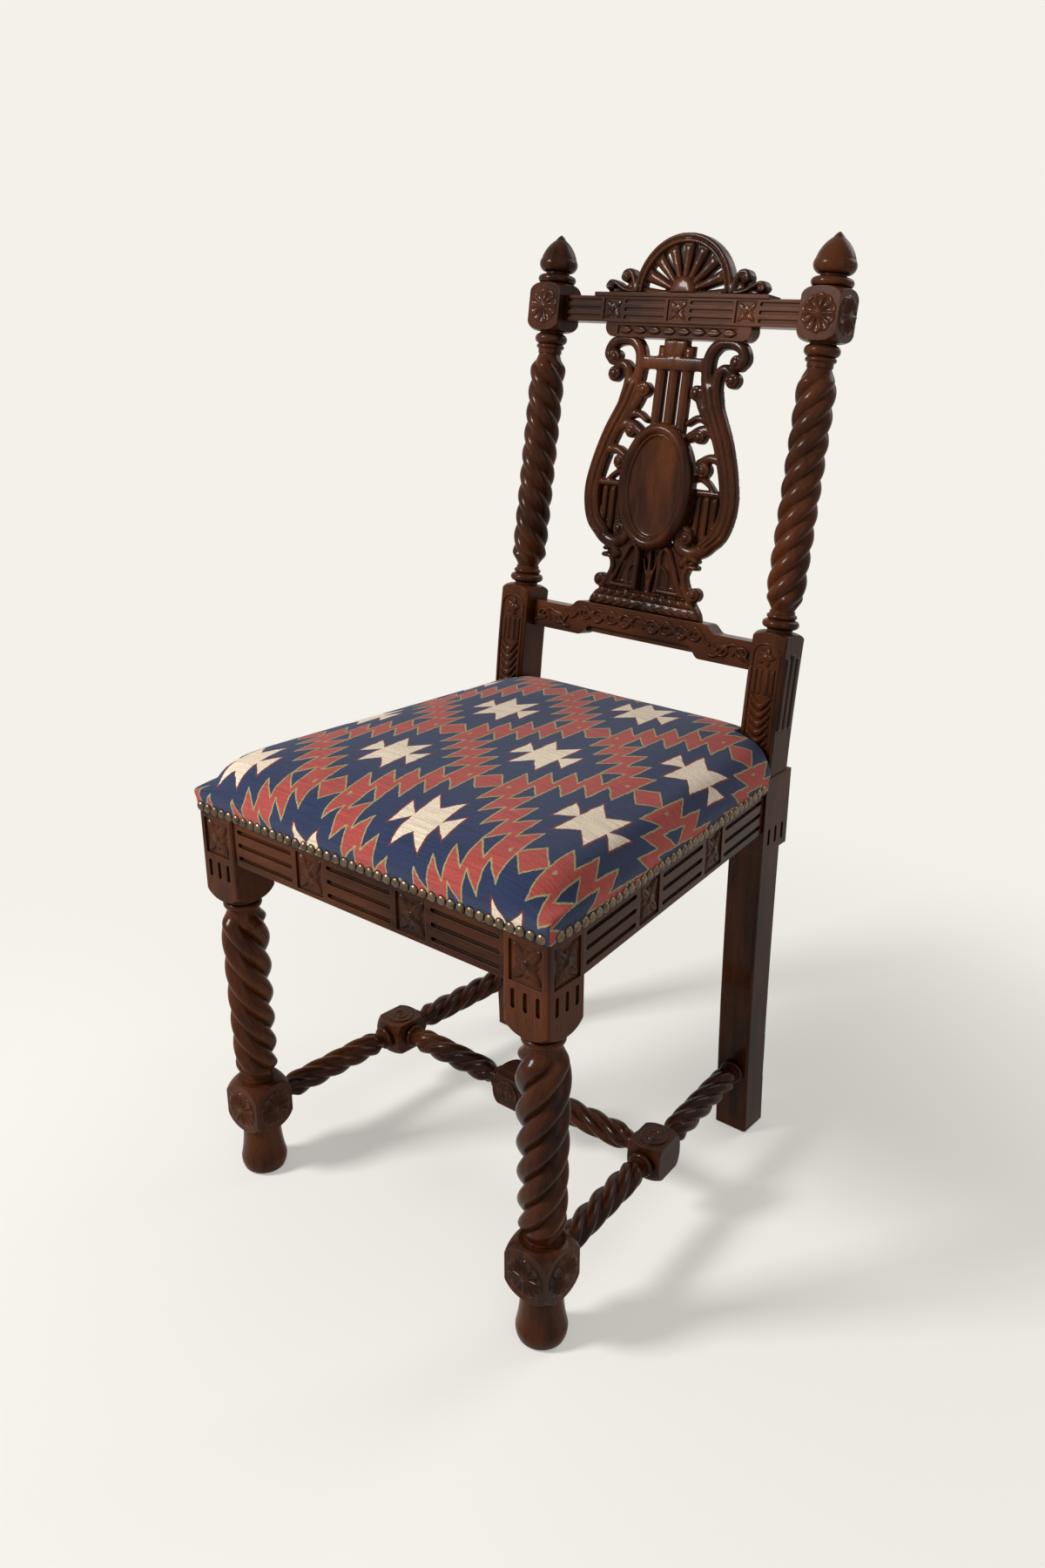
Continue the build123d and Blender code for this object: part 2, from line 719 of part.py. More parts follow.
# Front seat rail: three fluted panels between two rosette squares
rosette_half = rail_rosette_width / 2
front_panels = [
    (-front_rail_half + flute_margin, -rail_rosette_x - rosette_half - flute_margin),
    (-rail_rosette_x + rosette_half + flute_margin, rail_rosette_x - rosette_half - flute_margin),
    (rail_rosette_x + rosette_half + flute_margin, front_rail_half - flute_margin),
]
with BuildPart() as front_seat_rail:
    with Locations((0, front_rail_y, rail_mid)):
        Box(2 * front_rail_half, rail_thickness, rail_height)
        Box(2 * (front_rail_half + rail_tenon_length), rail_tenon_thickness, rail_tenon_height)
    rail_face = Plane(
        origin=(0, front_rail_y - rail_thickness / 2, rail_bottom + flute_bottom),
        x_dir=(1, 0, 0),
        z_dir=(0, -1, 0),
    )
    with BuildSketch(rail_face):
        for row in range(3):
            for panel_start, panel_end in front_panels:
                with Locations(((panel_start + panel_end) / 2, row * flute_pitch)):
                    SlotOverall(panel_end - panel_start, flute_height)
    extrude(amount=-flute_depth, mode=Mode.SUBTRACT)
    with BuildSketch(rail_face):
        for rosette_x in (-rail_rosette_x, rail_rosette_x):
            with Locations((rosette_x, flute_pitch)):
                Rectangle(rosette_panel_width, rosette_panel_height)
    extrude(amount=-rosette_panel_depth, mode=Mode.SUBTRACT)
finish_piece(front_seat_rail, "front_seat_rail")

with BuildPart() as rear_seat_rail:
    with Locations((0, rear_rail_y, rail_mid)):
        Box(2 * rear_rail_half, rear_rail_thickness, rail_height)
        Box(2 * (rear_rail_half + rail_tenon_length), rail_tenon_thickness, rail_tenon_height)
finish_piece(rear_seat_rail, "rear_seat_rail")

# Side seat rails follow the taper of the seat
side_rail_length = (side_rail_rear - side_rail_front).length
side_rail_face = Plane(
    origin=side_rail_front + Vector(0, 0, rail_bottom + flute_bottom),
    x_dir=side_rail_line,
    z_dir=(side_rail_line.Y, -side_rail_line.X, 0),
)
side_centre = side_rail_length / 2
side_rosettes = [side_centre - side_rosette_pitch / 2, side_centre + side_rosette_pitch / 2]
side_panels = [
    (flute_margin, side_rosettes[0] - rosette_half - flute_margin),
    (side_rosettes[0] + rosette_half + flute_margin, side_rosettes[1] - rosette_half - flute_margin),
    (side_rosettes[1] + rosette_half + flute_margin, side_rail_length - flute_margin),
]
with BuildPart() as side_seat_rail_right:
    with BuildSketch(Plane.XY.offset(rail_bottom)):
        with BuildLine():
            Polyline(
                (side_rail_front.X, side_rail_front.Y),
                (side_rail_rear.X, side_rail_rear.Y),
                (side_rail_rear.X - side_rail_width, side_rail_rear.Y),
                (side_rail_front.X - side_rail_width, side_rail_front.Y),
                close=True,
            )
        make_face()
    extrude(amount=rail_height)
    with Locations((front_tenon_x, side_rail_front.Y, rail_mid)):
        Box(
            rail_tenon_thickness,
            rail_tenon_length,
            rail_tenon_height,
            align=(Align.CENTER, Align.MAX, Align.CENTER),
        )
    with Locations((rear_tenon_x, side_rail_rear.Y, rail_mid)):
        Box(
            rail_tenon_thickness,
            rail_tenon_length,
            rail_tenon_height,
            align=(Align.CENTER, Align.MIN, Align.CENTER),
        )
    with BuildSketch(side_rail_face):
        for row in range(3):
            for panel_start, panel_end in side_panels:
                with Locations(((panel_start + panel_end) / 2, row * flute_pitch)):
                    SlotOverall(panel_end - panel_start, flute_height)
    extrude(amount=-flute_depth, mode=Mode.SUBTRACT)
    with BuildSketch(side_rail_face):
        for rosette_x in side_rosettes:
            with Locations((rosette_x, flute_pitch)):
                Rectangle(rosette_panel_width, rosette_panel_height)
    extrude(amount=-rosette_panel_depth, mode=Mode.SUBTRACT)
finish_piece(side_seat_rail_right, "side_seat_rail_right")

with BuildPart() as side_seat_rail_left:
    mirror(side_seat_rail_right.part, about=Plane.YZ)
finish_piece(side_seat_rail_left, "side_seat_rail_left")


# Corner blocks and their screws
corner_outlines = [front_corner_outline, rear_corner_outline]
corner_screws = [front_screw, rear_screw]
with BuildPart() as corner_blocks:
    with BuildSketch(Plane.XY.offset(rail_mid - corner_block_height / 2)):
        for outline in corner_outlines:
            with BuildLine():
                Polyline(*outline, close=True)
            make_face()
        mirror(about=Plane.YZ)
    extrude(amount=corner_block_height)
    for spot in corner_screws:
        with Locations(spot.location):
            screw_hole = Cylinder(screw_hole_radius, 2 * screw_length, mode=Mode.SUBTRACT)
        mirror(screw_hole, about=Plane.YZ, mode=Mode.SUBTRACT)
finish_piece(corner_blocks, "corner_blocks")

with BuildPart() as corner_block_screws:
    for spot in corner_screws:
        with Locations(spot.location):
            Cylinder(screw_radius, 2 * screw_head_height)
            Cylinder(screw_radius, screw_length, align=(Align.CENTER, Align.CENTER, Align.MIN))
        with Locations(spot.offset(-screw_head_lift).location):
            Cylinder(
                screw_head_radius, screw_head_height, align=(Align.CENTER, Align.CENTER, Align.MAX)
            )
    mirror(about=Plane.YZ)
finish_piece(corner_block_screws, "corner_block_screws")


# Lower back rail: low ends, a raised middle under the splat, ogee steps between
with BuildPart() as lower_back_rail:
    end_top = lower_rail_end_bottom + lower_rail_end_height
    middle_bottom = lower_rail_end_bottom + lower_rail_rise
    middle_top = lower_rail_middle_top
    step_mid = (lower_rail_step_out + lower_rail_step_in) / 2
    step_back = lower_rail_step_out - lower_rail_step_in
    with BuildSketch(back_plane.offset(lower_rail_front)):
        with BuildLine():
            Line((0, middle_top), (lower_rail_step_in, middle_top))
            Bezier(
                (lower_rail_step_in, middle_top),
                (step_mid, middle_top),
                (step_mid, end_top),
                (lower_rail_step_out, end_top),
            )
            Polyline(
                (lower_rail_step_out, end_top),
                (stile_inner, end_top),
                (stile_inner, lower_rail_end_bottom),
                (lower_rail_step_in, lower_rail_end_bottom),
            )
            Bezier(
                (lower_rail_step_in, lower_rail_end_bottom),
                (step_mid - step_back, lower_rail_end_bottom),
                (step_mid - step_back, middle_bottom),
                (lower_rail_step_in - step_back, middle_bottom),
            )
            Line((lower_rail_step_in - step_back, middle_bottom), (0, middle_bottom))
            Line((0, middle_bottom), (0, middle_top))
        make_face()
        mirror(about=Plane.YZ)
    extrude(amount=-lower_rail_thickness)
    rail_tenon_plane = back_plane.offset(lower_tenon_z)
    with BuildSketch(rail_tenon_plane):
        with Locations((0, lower_mid)):
            Rectangle(
                2 * (stile_inner + crest_tenon_length), lower_rail_end_height - 2 * crest_tenon_shoulder
            )
    extrude(amount=crest_tenon_thickness / 2, both=True)
    with BuildSketch(back_plane.offset(splat_front - splat_thickness / 2)):
        with Locations((0, middle_top)):
            Rectangle(
                splat_foot_tenon_width + 2 * tenon_clearance,
                2 * (splat_tenon_length + tenon_relief),
            )
    extrude(
        amount=splat_tenon_thickness / 2 + tenon_clearance, both=True, mode=Mode.SUBTRACT
    )
finish_piece(lower_back_rail, "lower_back_rail")


# Crest rail: fluted rail with a carved apron below and a thin ledge above
with BuildPart() as crest_rail:
    crest_mid = (crest_bottom + crest_top) / 2
    with BuildSketch(back_plane.offset(crest_front)):
        with Locations((0, crest_mid)):
            Rectangle(2 * crest_half, crest_height)
    extrude(amount=-crest_thickness)
    with BuildSketch(back_plane.offset(crest_front - apron_setback)):
        with BuildLine():
            Line((0, crest_bottom), (apron_half_width, crest_bottom))
            ThreePointArc(
                (apron_half_width, crest_bottom),
                (apron_half_width - apron_taper * 0.2, splat_top + apron_drop * 0.25),
                (apron_half_width - apron_taper, splat_top),
            )
            Line((apron_half_width - apron_taper, splat_top), (0, splat_top))
            Line((0, splat_top), (0, crest_bottom))
        make_face()
        mirror(about=Plane.YZ)
    extrude(amount=-(crest_thickness - 2 * apron_setback))
    with BuildSketch(back_plane.offset(crest_front + ledge_lip)):
        with Locations((0, crest_top + ledge_height / 2)):
            Rectangle(2 * ledge_half_width, ledge_height)
    extrude(amount=-(crest_thickness + ledge_lip))
    with BuildSketch(back_plane.offset(crest_tenon_z)):
        with Locations((0, crest_mid)):
            Rectangle(2 * (crest_half + crest_tenon_length), crest_height - 2 * crest_tenon_shoulder)
    extrude(amount=crest_tenon_thickness / 2, both=True)
    rosette_edge = crest_rosette_width / 2 + 2
    crest_panels = [
        (rosette_edge, crest_rosette_pitch - rosette_edge),
        (crest_rosette_pitch + rosette_edge, crest_half - 2),
    ]
    with BuildSketch(back_plane.offset(crest_front)):
        for row in (-1, 0, 1):
            for panel_start, panel_end in crest_panels:
                with Locations(((panel_start + panel_end) / 2, crest_mid + row * crest_flute_pitch)):
                    SlotOverall(panel_end - panel_start, crest_flute_height)
        mirror(about=Plane.YZ)
    extrude(amount=-crest_flute_depth, mode=Mode.SUBTRACT)
    with BuildSketch(back_plane.offset(crest_front)):
        with Locations((0, crest_mid)):
            with GridLocations(crest_rosette_pitch, 1, 3, 1):
                Rectangle(crest_rosette_width - 2, crest_panel_height)
    extrude(amount=-crest_panel_depth, mode=Mode.SUBTRACT)
    with BuildSketch(back_plane.offset(crest_front - apron_setback)):
        with Locations((0, splat_top + apron_drop / 2)):
            Rectangle(2 * apron_panel_half_width, apron_panel_height)
    extrude(amount=-crest_panel_depth, mode=Mode.SUBTRACT)
    with BuildSketch(back_plane.offset(splat_front - splat_thickness / 2)):
        with Locations((0, splat_top)):
            Rectangle(
                splat_head_tenon_width + 2 * tenon_clearance,
                2 * (splat_tenon_length + tenon_relief),
            )
    extrude(amount=splat_tenon_thickness / 2 + tenon_clearance, both=True, mode=Mode.SUBTRACT)
finish_piece(crest_rail, "crest_rail")


# Fan cresting: a half-round arch with spokes, standing on the ledge, volutes at its feet
arch_base = crest_top + ledge_height
arch_inner = arch_radius - arch_rim
volute_near_x = arch_radius + arch_volute_near_radius + 3
volute_far_x = volute_near_x + arch_volute_near_radius + arch_volute_far_radius + 5
with BuildPart() as fan_cresting:
    fan_mid = crest_front - crest_thickness / 2
    with BuildSketch(back_plane.offset(fan_mid + arch_thickness / 2)):
        with Locations((0, arch_base)):
            Circle(arch_radius)
            Circle(arch_inner, mode=Mode.SUBTRACT)
            Circle(arch_hub_radius)
        with BuildLine():
            foot_start = (arch_radius - arch_rim, arch_base)
            Polyline(
                foot_start,
                (volute_far_x, arch_base),
                (volute_far_x, arch_base + arch_volute_far_radius),
                (volute_near_x, arch_base + arch_volute_far_radius),
                (arch_radius - 2, arch_base + 2 * arch_volute_near_radius),
                foot_start,
            )
        make_face()
        with Locations((volute_near_x, arch_base + arch_volute_near_radius * 1.9)):
            Circle(arch_volute_near_radius)
        with Locations((volute_far_x, arch_base + arch_volute_far_radius)):
            Circle(arch_volute_far_radius)
        mirror(about=Plane.YZ)
        with Locations((0, arch_base)):
            Rectangle(
                4 * arch_radius, arch_radius, align=(Align.CENTER, Align.MAX), mode=Mode.SUBTRACT
            )
    extrude(amount=-arch_thickness)
    with BuildSketch(back_plane.offset(fan_mid + fan_thickness / 2)):
        with Locations((0, arch_base)):
            with PolarLocations(0, fan_spokes, start_angle=0, angular_range=180, endpoint=True):
                Trapezoid(
                    spoke_tip_width,
                    arch_inner + 1,
                    90 + math.degrees(math.atan((spoke_tip_width - spoke_root_width) / 2 / arch_inner)),
                    align=(Align.CENTER, Align.MIN),
                    rotation=-90,
                )
            Rectangle(
                4 * arch_radius, arch_radius, align=(Align.CENTER, Align.MAX), mode=Mode.SUBTRACT
            )
    extrude(amount=-fan_thickness)
finish_piece(fan_cresting, "fan_cresting")
print("fan", fan_cresting.part.volume, len(fan_cresting.part.solids()))


# Lyre splat, drawn in shares of its own half width and height
def lyre(x, up):
    """A point of the lyre: across from its middle, up from its foot."""
    return (x * lyre_half_width, lower_rail_middle_top + up * splat_height)


def lyre_points(points):
    return [lyre(x, up) for x, up in points]


arm_spine = lyre_points(
    [
        (0.53, 0.946),
        (0.52, 0.85),
        (0.58, 0.755),
        (0.73, 0.646),
        (0.86, 0.527),
        (0.91, 0.425),
        (0.86, 0.333),
        (0.68, 0.265),
    ]
)
hook_arc = lyre_points([(0.54, 0.939), (0.69, 0.983), (0.79, 0.925)])
leaf_spine = lyre_points([(0.66, 0.69), (0.54, 0.735), (0.42, 0.776), (0.33, 0.827)])
link_spine = lyre_points([(0.7, 0.639), (0.52, 0.67), (0.26, 0.653)])
scroll_spine = lyre_points([(0.88, 0.476), (0.82, 0.558), (0.66, 0.592), (0.44, 0.571)])
foot_curl_spine = lyre_points([(0.72, 0.272), (0.55, 0.231), (0.4, 0.259), (0.38, 0.306)])
pedestal_outline = lyre_points(
    [
        (0, 0),
        (0.76, 0),
        (0.73, 0.031),
        (0.65, 0.068),
        (0.57, 0.085),
        (0.5, 0.129),
        (0.49, 0.17),
        (0.53, 0.197),
        (0.48, 0.224),
        (0.52, 0.252),
        (0, 0.265),
    ]
)
lyre_knobs = [
    ((0.77, 0.912), 6.0),
    ((0.66, 0.861), 7.5),
    ((0.45, 0.299), 11.0),
    ((0.56, 0.187), 7.0),
    ((0.62, 0.088), 6.5),
]
with BuildPart() as lyre_splat:
    with BuildSketch(back_plane.offset(splat_front)):
        with BuildLine():
            Spline(arm_spine)
        trace(line_width=arm_width)
        with BuildLine():
            ThreePointArc(*hook_arc)
        trace(line_width=hook_width)
        with BuildLine():
            Spline(foot_curl_spine)
        trace(line_width=hook_width)
        with BuildLine():
            Polyline(*pedestal_outline, close=True)
        make_face()
        for knob, knob_radius in lyre_knobs:
            with Locations(lyre(*knob)):
                Circle(knob_radius)
        with Locations(lyre(0, 0.469)):
            Ellipse(medallion_half_width - 3, medallion_half_height - 3)
        mirror(about=Plane.YZ)
        with Locations(lyre(0, 0.898)):
            Rectangle(1.1 * lyre_half_width, splat_height * 0.034)
        with Locations(lyre(0, 0.143)):
            SlotOverall(splat_height * 0.15, lyre_half_width * 0.15, rotation=90, mode=Mode.SUBTRACT)
    extrude(amount=-splat_thickness)
    with BuildSketch(back_plane.offset(fret_front)):
        for spine in (leaf_spine, link_spine, scroll_spine):
            with BuildLine():
                Spline(spine)
            trace(line_width=leaf_width)
        with Locations(lyre(0.66, 0.456)):
            Rectangle(lyre_half_width * 0.5, splat_height * 0.031)
        for string_x in (0.59, 0.72):
            with Locations(lyre(string_x, 0.367)):
                Rectangle(string_width, splat_height * 0.225)
        with Locations(lyre(0.175, 0.762)):
            Rectangle(pipe_width, splat_height * 0.313)
        with Locations(lyre(0.175, 0.922)):
            SlotOverall(splat_height * 0.102, pipe_width * 1.17, rotation=90)
        with Locations(lyre(0.33, 0.82)):
            Circle(5.5)
        with Locations(lyre(0.5, 0.551)):
            Circle(7)
        mirror(about=Plane.YZ)
        with Locations(lyre(0, 0.762)):
            Rectangle(pipe_width, splat_height * 0.313)
        with Locations(lyre(0, 0.129)):
            Rectangle(lyre_half_width * 0.04, splat_height * 0.136)
        with Locations(lyre(0, 0.15)):
            Ellipse(lyre_half_width * 0.045, splat_height * 0.037)
    extrude(amount=-fret_thickness)
    with BuildSketch(back_plane.offset(splat_front - 1)):
        with BuildLine():
            Polyline(
                lyre(-0.09, 0.891),
                lyre(0.09, 0.891),
                lyre(0.07, 1),
                lyre(-0.07, 1),
                close=True,
            )
        make_face()
    extrude(amount=-(splat_thickness - 2))
    with BuildSketch(back_plane.offset(splat_front - splat_thickness / 2)):
        with Locations((0, lower_rail_middle_top)):
            Rectangle(splat_foot_tenon_width, splat_tenon_length, align=(Align.CENTER, Align.MAX))
        with Locations((0, splat_top)):
            Rectangle(splat_head_tenon_width, splat_tenon_length, align=(Align.CENTER, Align.MIN))
    extrude(amount=splat_tenon_thickness / 2, both=True)
finish_piece(lyre_splat, "lyre_splat")
print("lyre", lyre_splat.part.volume, len(lyre_splat.part.solids()))

# Oval medallion: a rounded frame around a plain field, glued to the lyre
medallion_centre = lyre(0, 0.469)


def oval(height, inset):
    """Outline of the medallion at a height in front of the lyre."""
    with BuildSketch(back_plane.offset(splat_front + height)) as outline:
        with Locations(medallion_centre):
            Ellipse(medallion_half_width - inset, medallion_half_height - inset)
    return outline.sketch


with BuildPart() as oval_medallion:
    loft(
        [
            oval(0, 0),
            oval(medallion_height * 0.45, 0),
            oval(medallion_height * 0.85, medallion_rim * 0.2),
            oval(medallion_height, medallion_rim * 0.45),
        ],
        ruled=True,
    )
    loft(
        [
            oval(medallion_field, medallion_rim),
            oval(medallion_height * 0.8, medallion_rim * 0.85),
            oval(medallion_height + 0.5, medallion_rim * 0.55),
        ],
        ruled=True,
        mode=Mode.SUBTRACT,
    )
finish_piece(oval_medallion, "oval_medallion")


def stretcher_collar(profile, end, inward):
    """Neck and bead at one end of a rope."""
    bead = stretcher_collar_radius - stretcher_neck_radius
    steps = [
        (stretcher_neck_radius, end),
        (stretcher_neck_radius, end + inward * 4),
        (stretcher_neck_radius, end + inward * (stretcher_collar_height - 2), bead),
        (stretcher_neck_radius, end + inward * stretcher_collar_height),
    ]
    if inward < 0:
        steps = [steps[3], steps[2][:2], (*steps[1], bead), steps[0]]
    return turned(profile, steps)


def stretcher_rope(across, first, last, hand):
    """Rope that starts inside the collars of one run."""
    return rope(
        across,
        first + stretcher_collar_height - 1,
        last - stretcher_collar_height + 1,
        (stretcher_rope_radius, stretcher_rope_radius),
        (stretcher_rope_lead, stretcher_rope_lead),
        stretcher_rope_groove,
        stretcher_neck_radius,
        hand,
    )


# Side stretchers: two ropes of opposite hand either side of a centre block
block_half = stretcher_block_length / 2
stretcher_corner = stretcher_block * math.sqrt(0.5) + 0.5
stretcher_shoulder_radius = stretcher_neck_radius + spigot_step
with BuildPart() as side_stretcher_right:
    with Locations(side_across.offset(side_middle).location):
        Box(stretcher_block, stretcher_block, stretcher_block_length)
    for block_end, inward in ((side_middle - block_half, 1), (side_middle + block_half, -1)):
        block_round = shoulder(
            side_profile,
            block_end,
            inward,
            stretcher_shoulder_radius,
            stretcher_corner,
            stretcher_block_shoulder,
        )
        revolve(block_round, axis_of(side_profile), mode=Mode.SUBTRACT)
    for run_first, run_last, hand in (
        (side_first - 3, side_middle - block_half + 1, -1),
        (side_middle + block_half - 1, side_last + 3, 1),
    ):
        revolve(stretcher_collar(side_profile, run_first, 1), axis_of(side_profile))
        revolve(stretcher_collar(side_profile, run_last, -1), axis_of(side_profile))
        loft(stretcher_rope(side_across, run_first, run_last, hand))
    split(bisect_by=Plane(origin=(0, side_front_y, 0), z_dir=(0, 1, 0)), keep=Keep.TOP)
    split(bisect_by=Plane(origin=(0, side_rear_y, 0), z_dir=(0, -1, 0)), keep=Keep.TOP)
    for tenon_start in (side_first - stretcher_tenon_length + tenon_root, side_last - tenon_root):
        with Locations(side_across.offset(tenon_start).location):
            Cylinder(
                stretcher_tenon_radius,
                stretcher_tenon_length,
                align=(Align.CENTER, Align.CENTER, Align.MIN),
            )
    top_spot = Plane(origin=cross_centre + Vector(0, 0, stretcher_block / 2))
    with Locations(top_spot.location):
        Cylinder(
            stretcher_disc_radius,
            stretcher_disc_height,
            align=(Align.CENTER, Align.CENTER, Align.MIN),
        )
    with Locations((cross_seat.X, cross_centre.Y, stretcher_z)):
        Cylinder(
            tenon_hole_radius,
            2 * (cross_tenon_length + tenon_relief),
            rotation=(0, 90, 0),
            mode=Mode.SUBTRACT,
        )
finish_piece(side_stretcher_right, "side_stretcher_right")

with BuildPart() as side_stretcher_left:
    mirror(side_stretcher_right.part, about=Plane.YZ)
finish_piece(side_stretcher_left, "side_stretcher_left")
print("side stretcher", side_stretcher_right.part.volume, len(side_stretcher_right.part.solids()))

# Cross stretcher: the same pattern between the two centre blocks
cross_half = cross_seat.X
with BuildPart() as cross_stretcher:
    with Locations(cross_across.location):
        Box(stretcher_block, stretcher_block, stretcher_block_length)
    for block_end, inward in ((-block_half, 1), (block_half, -1)):
        block_round = shoulder(
            cross_profile,
            block_end,
            inward,
            stretcher_shoulder_radius,
            stretcher_corner,
            stretcher_block_shoulder,
        )
        revolve(block_round, axis_of(cross_profile), mode=Mode.SUBTRACT)
    for run_first, run_last, hand in (
        (-cross_half - 3, -block_half + 1, -cross_sign),
        (block_half - 1, cross_half + 3, cross_sign),
    ):
        revolve(stretcher_collar(cross_profile, run_first, 1), axis_of(cross_profile))
        revolve(stretcher_collar(cross_profile, run_last, -1), axis_of(cross_profile))
        loft(stretcher_rope(cross_across, run_first, run_last, hand))
    for side in (-1, 1):
        seat_face = Plane(
            origin=(side * cross_seat.X, cross_seat.Y, cross_seat.Z),
            z_dir=(side * side_normal.X, side_normal.Y, 0),
        )
        split(bisect_by=seat_face, keep=Keep.TOP)
        with Locations((side * cross_half, cross_centre.Y, stretcher_z)):
            Cylinder(stretcher_tenon_radius, 2 * cross_tenon_length, rotation=(0, 90, 0))
    disc_face = Plane(origin=(0, cross_centre.Y - stretcher_block / 2, stretcher_z), z_dir=(0, -1, 0))
    with Locations(disc_face.location):
        Cylinder(
            stretcher_disc_radius,
            stretcher_disc_height,
            align=(Align.CENTER, Align.CENTER, Align.MIN),
        )
finish_piece(cross_stretcher, "cross_stretcher")
print("cross stretcher", cross_stretcher.part.volume, len(cross_stretcher.part.solids()))


# Seat: webbing and hessian over the rails, stuffing, and the cover drawn down to the nails
seat_front_y = front_face_y
seat_rear_y = rear_rail_y + rear_rail_thickness / 2
skirt_bottom = rail_top - cover_skirt
web_bottom = rail_top
hessian_bottom = web_bottom + 2 * web_thickness
pad_bottom = hessian_bottom + hessian_thickness
side_width_change = rear_post_x + seat_block_width / 2 - front_leg_x - front_block / 2
taper = side_width_change / (seat_block_front - side_rail_front.Y)


def seat_side_x(y):
    """Outer line of the seat frame: the block's side, then the taper to the rear post."""
    return front_leg_x + front_block / 2 + taper * (y - side_rail_front.Y)


def seat_outline(height, inset):
    """Plan of the seat at one height, drawn in from the faces of the frame."""
    front = seat_front_y + inset
    rear = seat_rear_y - inset * 0.6
    bend = front + front_block
    wide = front_leg_x + front_block / 2 - inset
    narrow = seat_side_x(seat_rear_y) - inset
    corner = front_block_edge - seat_corner_ease + max(0, inset) * 0.25
    side_run = Vector(narrow - wide, rear - bend, 0).normalized()
    front_mid = corner * (1 - math.sqrt(0.5))
    rear_start = (narrow - side_run.X * corner, rear - side_run.Y * corner)
    rear_mid = (narrow - (side_run.X + 1) * corner * 0.3, rear - side_run.Y * corner * 0.3)
    right = [
        [(0, front), (wide - corner, front)],
        [(wide - corner, front), (wide - front_mid, front + front_mid), (wide, front + corner)],
        [(wide, front + corner), (wide, bend)],
        [(wide, bend), rear_start],
        [rear_start, rear_mid, (narrow - corner, rear)],
        [(narrow - corner, rear), (0, rear)],
    ]
    left = [[(-x, y) for x, y in reversed(run)] for run in reversed(right)]
    with BuildSketch(Plane.XY.offset(height)) as plan:
        with BuildLine():
            for run in right + left:
                if len(run) == 3:
                    ThreePointArc(*run)
                else:
                    Line(*run)
        make_face()
    return plan.sketch


def seat_form(grow):
    """Sections of the stuffed seat: straight skirt, swelling edge, then a low crown."""
    crown = seat_crown + grow
    sections = [
        seat_outline(skirt_bottom, -grow),
        seat_outline(rail_top, -grow),
        seat_outline(rail_top + 0.2 * crown, -grow - seat_bulge),
        seat_outline(rail_top + 0.42 * crown, -grow + 1),
        seat_outline(rail_top + 0.68 * crown, -grow + 13),
        seat_outline(rail_top + 0.86 * crown, -grow + 38),
        seat_outline(rail_top + 0.96 * crown, -grow + 80),
        seat_outline(rail_top + crown, -grow + 140),
    ]
    return sections


notch_x = rear_rail_half - cloth_clearance
notch_y = seat_block_front - cloth_clearance
notch_far = 400.0
below = (Align.CENTER, Align.CENTER, Align.MAX)
behind = (Align.CENTER, Align.MIN, Align.CENTER)
with BuildPart() as seat_pad:
    loft(seat_form(0), ruled=True)
    with Locations((0, 0, pad_bottom)):
        Box(notch_far * 2, notch_far * 2, notch_far, align=below, mode=Mode.SUBTRACT)
    for side in (-1, 1):
        with Locations((side * (notch_x + notch_far / 2), notch_y, rail_top)):
            Box(notch_far, notch_far, notch_far, align=behind, mode=Mode.SUBTRACT)
finish_piece(seat_pad, "seat_pad")

with BuildPart() as seat_cover:
    loft(seat_form(cover_thickness), ruled=True)
    loft(seat_form(0), ruled=True, mode=Mode.SUBTRACT)
    with Locations((0, 0, skirt_bottom)):
        Box(notch_far * 2, notch_far * 2, notch_far, align=below, mode=Mode.SUBTRACT)
    for side in (-1, 1):
        with Locations((side * (notch_x + notch_far / 2), notch_y, rail_top)):
            Box(notch_far, notch_far, notch_far, align=behind, mode=Mode.SUBTRACT)
finish_piece(seat_cover, "seat_cover")
print("seat", seat_pad.part.volume, seat_cover.part.volume, len(seat_cover.part.solids()))

with BuildPart() as webbing_lengthwise:
    web_length = seat_rear_y - front_rail_y
    with Locations((0, (seat_rear_y + front_rail_y) / 2, web_bottom)):
        with GridLocations(web_pitch_across, 1, 3, 1):
            Box(web_width, web_length, web_thickness, align=(Align.CENTER, Align.CENTER, Align.MIN))
finish_piece(webbing_lengthwise, "webbing_lengthwise")

with BuildPart() as webbing_crosswise:
    for row in (-1, 0, 1):
        web_y = (inner_front_y + inner_rear_y) / 2 + row * web_pitch_along
        web_reach = 2 * (side_inner_x(web_y + web_width / 2) + side_rail_width * 0.7)
        with Locations((0, web_y, web_bottom + web_thickness)):
            Box(web_reach, web_width, web_thickness, align=(Align.CENTER, Align.CENTER, Align.MIN))
finish_piece(webbing_crosswise, "webbing_crosswise")

with BuildPart() as hessian:
    with BuildSketch(Plane.XY.offset(hessian_bottom)):
        with BuildLine():
            cloth_front = front_rail_y
            cloth_rear = seat_block_front - cloth_clearance
            cloth_inset = rail_thickness / 2
            Polyline(
                (-seat_side_x(cloth_rear) + cloth_inset, cloth_rear),
                (-seat_side_x(cloth_front) + cloth_inset, cloth_front),
                (seat_side_x(cloth_front) - cloth_inset, cloth_front),
                (seat_side_x(cloth_rear) - cloth_inset, cloth_rear),
                close=True,
            )
        make_face()
    extrude(amount=hessian_thickness)
finish_piece(hessian, "hessian")

